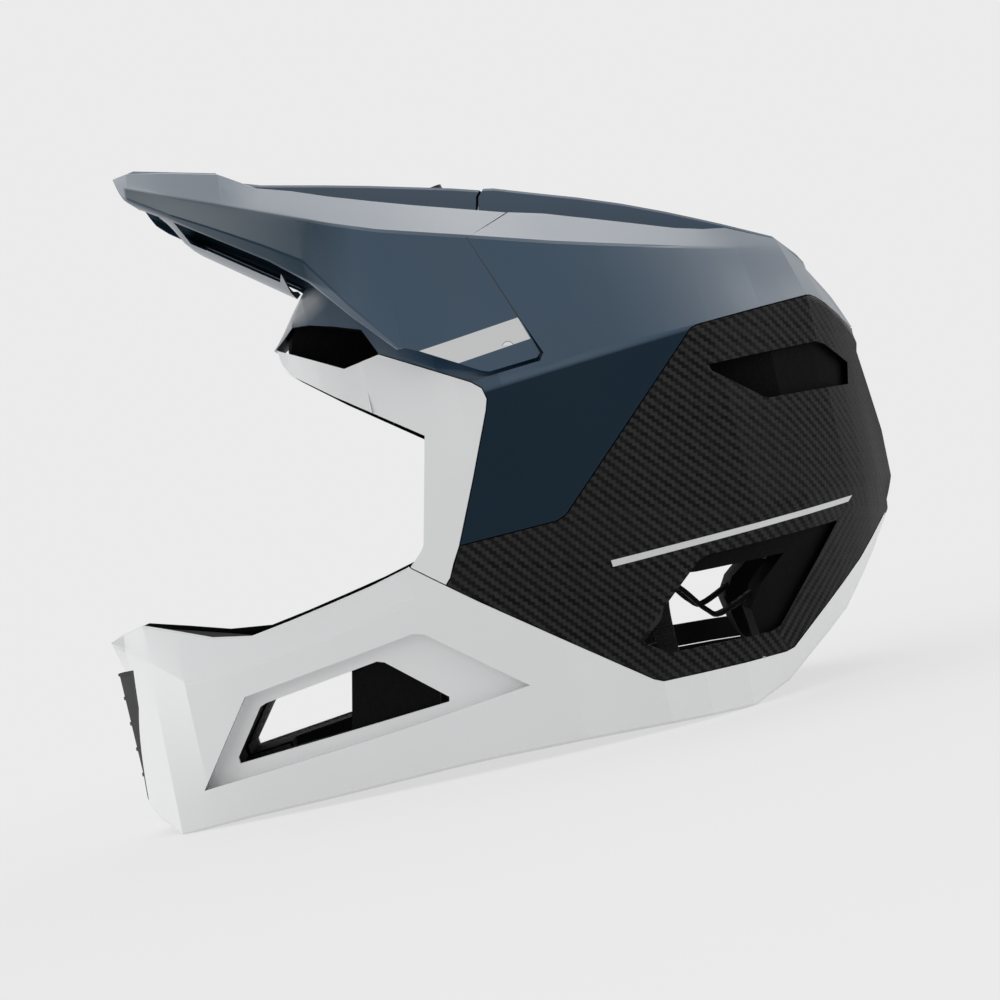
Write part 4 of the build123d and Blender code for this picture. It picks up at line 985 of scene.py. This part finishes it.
def add_floor(backdrop):
    """Floor just under the helmet."""
    bm = bmesh.new()
    bmesh.ops.create_grid(bm, x_segments=1, y_segments=1, size=FLOOR_HALF)
    bmesh.ops.translate(bm, verts=bm.verts, vec=(0, 0, -FLOOR_DROP))
    mesh = bpy.data.meshes.new("floor")
    bm.to_mesh(mesh)
    bm.free()
    floor = bpy.data.objects.new("floor", mesh)
    bpy.context.collection.objects.link(floor)
    floor.data.materials.append(floor_material(backdrop))


def add_lamp(name, place, size, power):
    """Round soft lamp that looks at the helmet."""
    lamp = bpy.data.lights.new(name, "AREA")
    lamp.shape = "DISK"
    lamp.size = size
    lamp.energy = power
    thing = bpy.data.objects.new(name, lamp)
    bpy.context.collection.objects.link(thing)
    thing.location = place
    thing.rotation_euler = (LAMP_AIM - place).to_track_quat("-Z", "Y").to_euler()


def add_camera(distance):
    """Camera at the helmet's left side, turned as the helmet is worn."""
    camera = bpy.data.cameras.new("camera")
    camera.sensor_width = SENSOR_WIDTH
    camera.lens = SENSOR_WIDTH * distance / SIDE_VIEW_WIDTH
    camera.clip_end = CAMERA_SIGHT
    eye = bpy.data.objects.new("camera", camera)
    bpy.context.collection.objects.link(eye)
    right = Vector((0, math.cos(WORN_TILT), -math.sin(WORN_TILT)))
    up = Vector((0, math.sin(WORN_TILT), math.cos(WORN_TILT)))
    turn = Matrix((right, up, right.cross(up))).transposed().to_4x4()
    eye.matrix_world = Matrix.Translation((distance, *VIEW_MIDDLE)) @ turn
    bpy.context.scene.camera = eye


# Operators
class HELMET_OT_finishes(Operator):
    """Paints, weave, plastics, foam, cloth and metals"""

    bl_idname = "helmet.finishes"
    bl_label = "Finishes"

    def execute(self, context):
        make_materials(context.scene.helmet_colours, context.scene.helmet_sizes)
        return {"FINISHED"}


class HELMET_OT_shell(Operator):
    """Painted and woven panels of the shell, black inside, and the frames of the mouth vents"""

    bl_idname = "helmet.shell"
    bl_label = "Shell panels"

    def execute(self, context):
        for node, finish in (
            ("crown_shell", "blue_paint"),
            ("face_frame", "white_paint"),
            ("lower_shell", "white_paint"),
            ("rear_panel", "carbon"),
        ):
            blacken_inside(dressed_node(node, "helmet", finish, BLEND_REACH))
        for side in ("left", "right"):
            dressed_node(f"mouth_vent_frame_{side}", "helmet", "white_paint")
        return {"FINISHED"}


class HELMET_OT_visor(Operator):
    """The visor and the plate under it"""

    bl_idname = "helmet.visor"
    bl_label = "Visor"

    def execute(self, context):
        dressed_node("visor", "visor", "visor_paint", BLEND_REACH)
        dressed_node("visor_underplate", "visor", "visor_paint")
        return {"FINISHED"}


class HELMET_OT_liners(Operator):
    """Bead foam of the crown and the chin bar"""

    bl_idname = "helmet.liners"
    bl_label = "Foam liners"

    def execute(self, context):
        for node in ("crown_liner_left", "crown_liner_right", "chin_liner"):
            dressed_node(node, "helmet", "foam")
        return {"FINISHED"}


class HELMET_OT_pads(Operator):
    """Comfort liner, head band, cheek pads, neck roll and strap pad"""

    bl_idname = "helmet.pads"
    bl_label = "Pads"

    def execute(self, context):
        for pad in PADS:
            puffed_pad(*pad)
        return {"FINISHED"}


class HELMET_OT_straps(Operator):
    """Webbing of the chin strap, and the bands behind the lower rear vents"""

    bl_idname = "helmet.straps"
    bl_label = "Chin strap"

    def execute(self, context):
        for node in ("strap_left", "strap_right"):
            dressed_node(node, "strap", "webbing", radius=STRAP_ROUNDING, angle=STRAP_FOLD)
        for end, side in (("left", 1), ("right", -1)):
            for label, places, across, width in (
                ("rear_band", REAR_BAND, Vector((1, 0, 0)), REAR_BAND_WIDTH),
                ("side_band", SIDE_BAND, Vector((0, 1, 0)), SIDE_BAND_WIDTH),
            ):
                points = side_spots(places)
                for point in points:
                    point.x *= side
                ribbon(f"{label}_{end}", points, across, width, BAND_THICKNESS, "webbing")
        return {"FINISHED"}


class HELMET_OT_hardware(Operator):
    """Finishes of the small parts, a dark strip in the gap behind the visor's spine that stands for its shadow,
    and the screen behind the front bars
    """

    bl_idname = "helmet.hardware"
    bl_label = "Hardware"

    def execute(self, context):
        for node, material in HARDWARE:
            put_material(node_object(node), material)
        # Painted shadow: a dark rubber strip in the gap behind the visor's spine
        ribbon(
            "visor_gap_shadow", side_spots(VISOR_GAP_SHADOW), Vector((1, 0, 0)), GAP_SHADOW_WIDTH, GAP_SHADOW_THICKNESS,
            "dark_rubber",
        )
        screen_behind(
            "grille_screen", "front_grille", "lower_shell", SCREEN_SETBACK, "black_plastic"
        )
        return {"FINISHED"}


class HELMET_OT_studio(Operator):
    """Floor, backdrop, lamps and camera"""

    bl_idname = "helmet.studio"
    bl_label = "Studio"

    def execute(self, context):
        scene = context.scene
        scene.world = studio_world(scene.helmet_colours.backdrop)
        add_floor(scene.helmet_colours.backdrop)
        for lamp in LAMPS:
            add_lamp(*lamp)
        add_camera(scene.helmet_sizes.camera_distance)
        scene.view_settings.view_transform = "Standard"
        return {"FINISHED"}


class HELMET_PT_panel(Panel):
    """Operators and values of the helmet"""

    bl_label = "Helmet"
    bl_idname = "HELMET_PT_panel"
    bl_space_type = "VIEW_3D"
    bl_region_type = "UI"
    bl_category = "Helmet"

    def draw(self, context):
        layout = self.layout
        for operator in OPERATORS:
            layout.operator(operator.bl_idname)
        for values in (context.scene.helmet_colours, context.scene.helmet_sizes):
            for name in values.__annotations__:
                layout.prop(values, name)


OPERATORS = (
    HELMET_OT_finishes,
    HELMET_OT_shell,
    HELMET_OT_visor,
    HELMET_OT_liners,
    HELMET_OT_pads,
    HELMET_OT_straps,
    HELMET_OT_hardware,
    HELMET_OT_studio,
)
CLASSES = (HelmetColours, HelmetSizes, *OPERATORS, HELMET_PT_panel)


def register():
    """Add the classes and the scene's values."""
    for kind in CLASSES:
        bpy.utils.register_class(kind)
    bpy.types.Scene.helmet_colours = PointerProperty(type=HelmetColours)
    bpy.types.Scene.helmet_sizes = PointerProperty(type=HelmetSizes)


def unregister():
    """Take them away again."""
    del bpy.types.Scene.helmet_sizes
    del bpy.types.Scene.helmet_colours
    for kind in reversed(CLASSES):
        bpy.utils.unregister_class(kind)


def main():
    """Register the add-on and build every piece."""
    register()
    bpy.ops.helmet.finishes()
    bpy.ops.helmet.shell()
    bpy.ops.helmet.visor()
    bpy.ops.helmet.liners()
    bpy.ops.helmet.pads()
    bpy.ops.helmet.straps()
    bpy.ops.helmet.hardware()
    bpy.ops.helmet.studio()


if __name__ == "__main__":
    main()
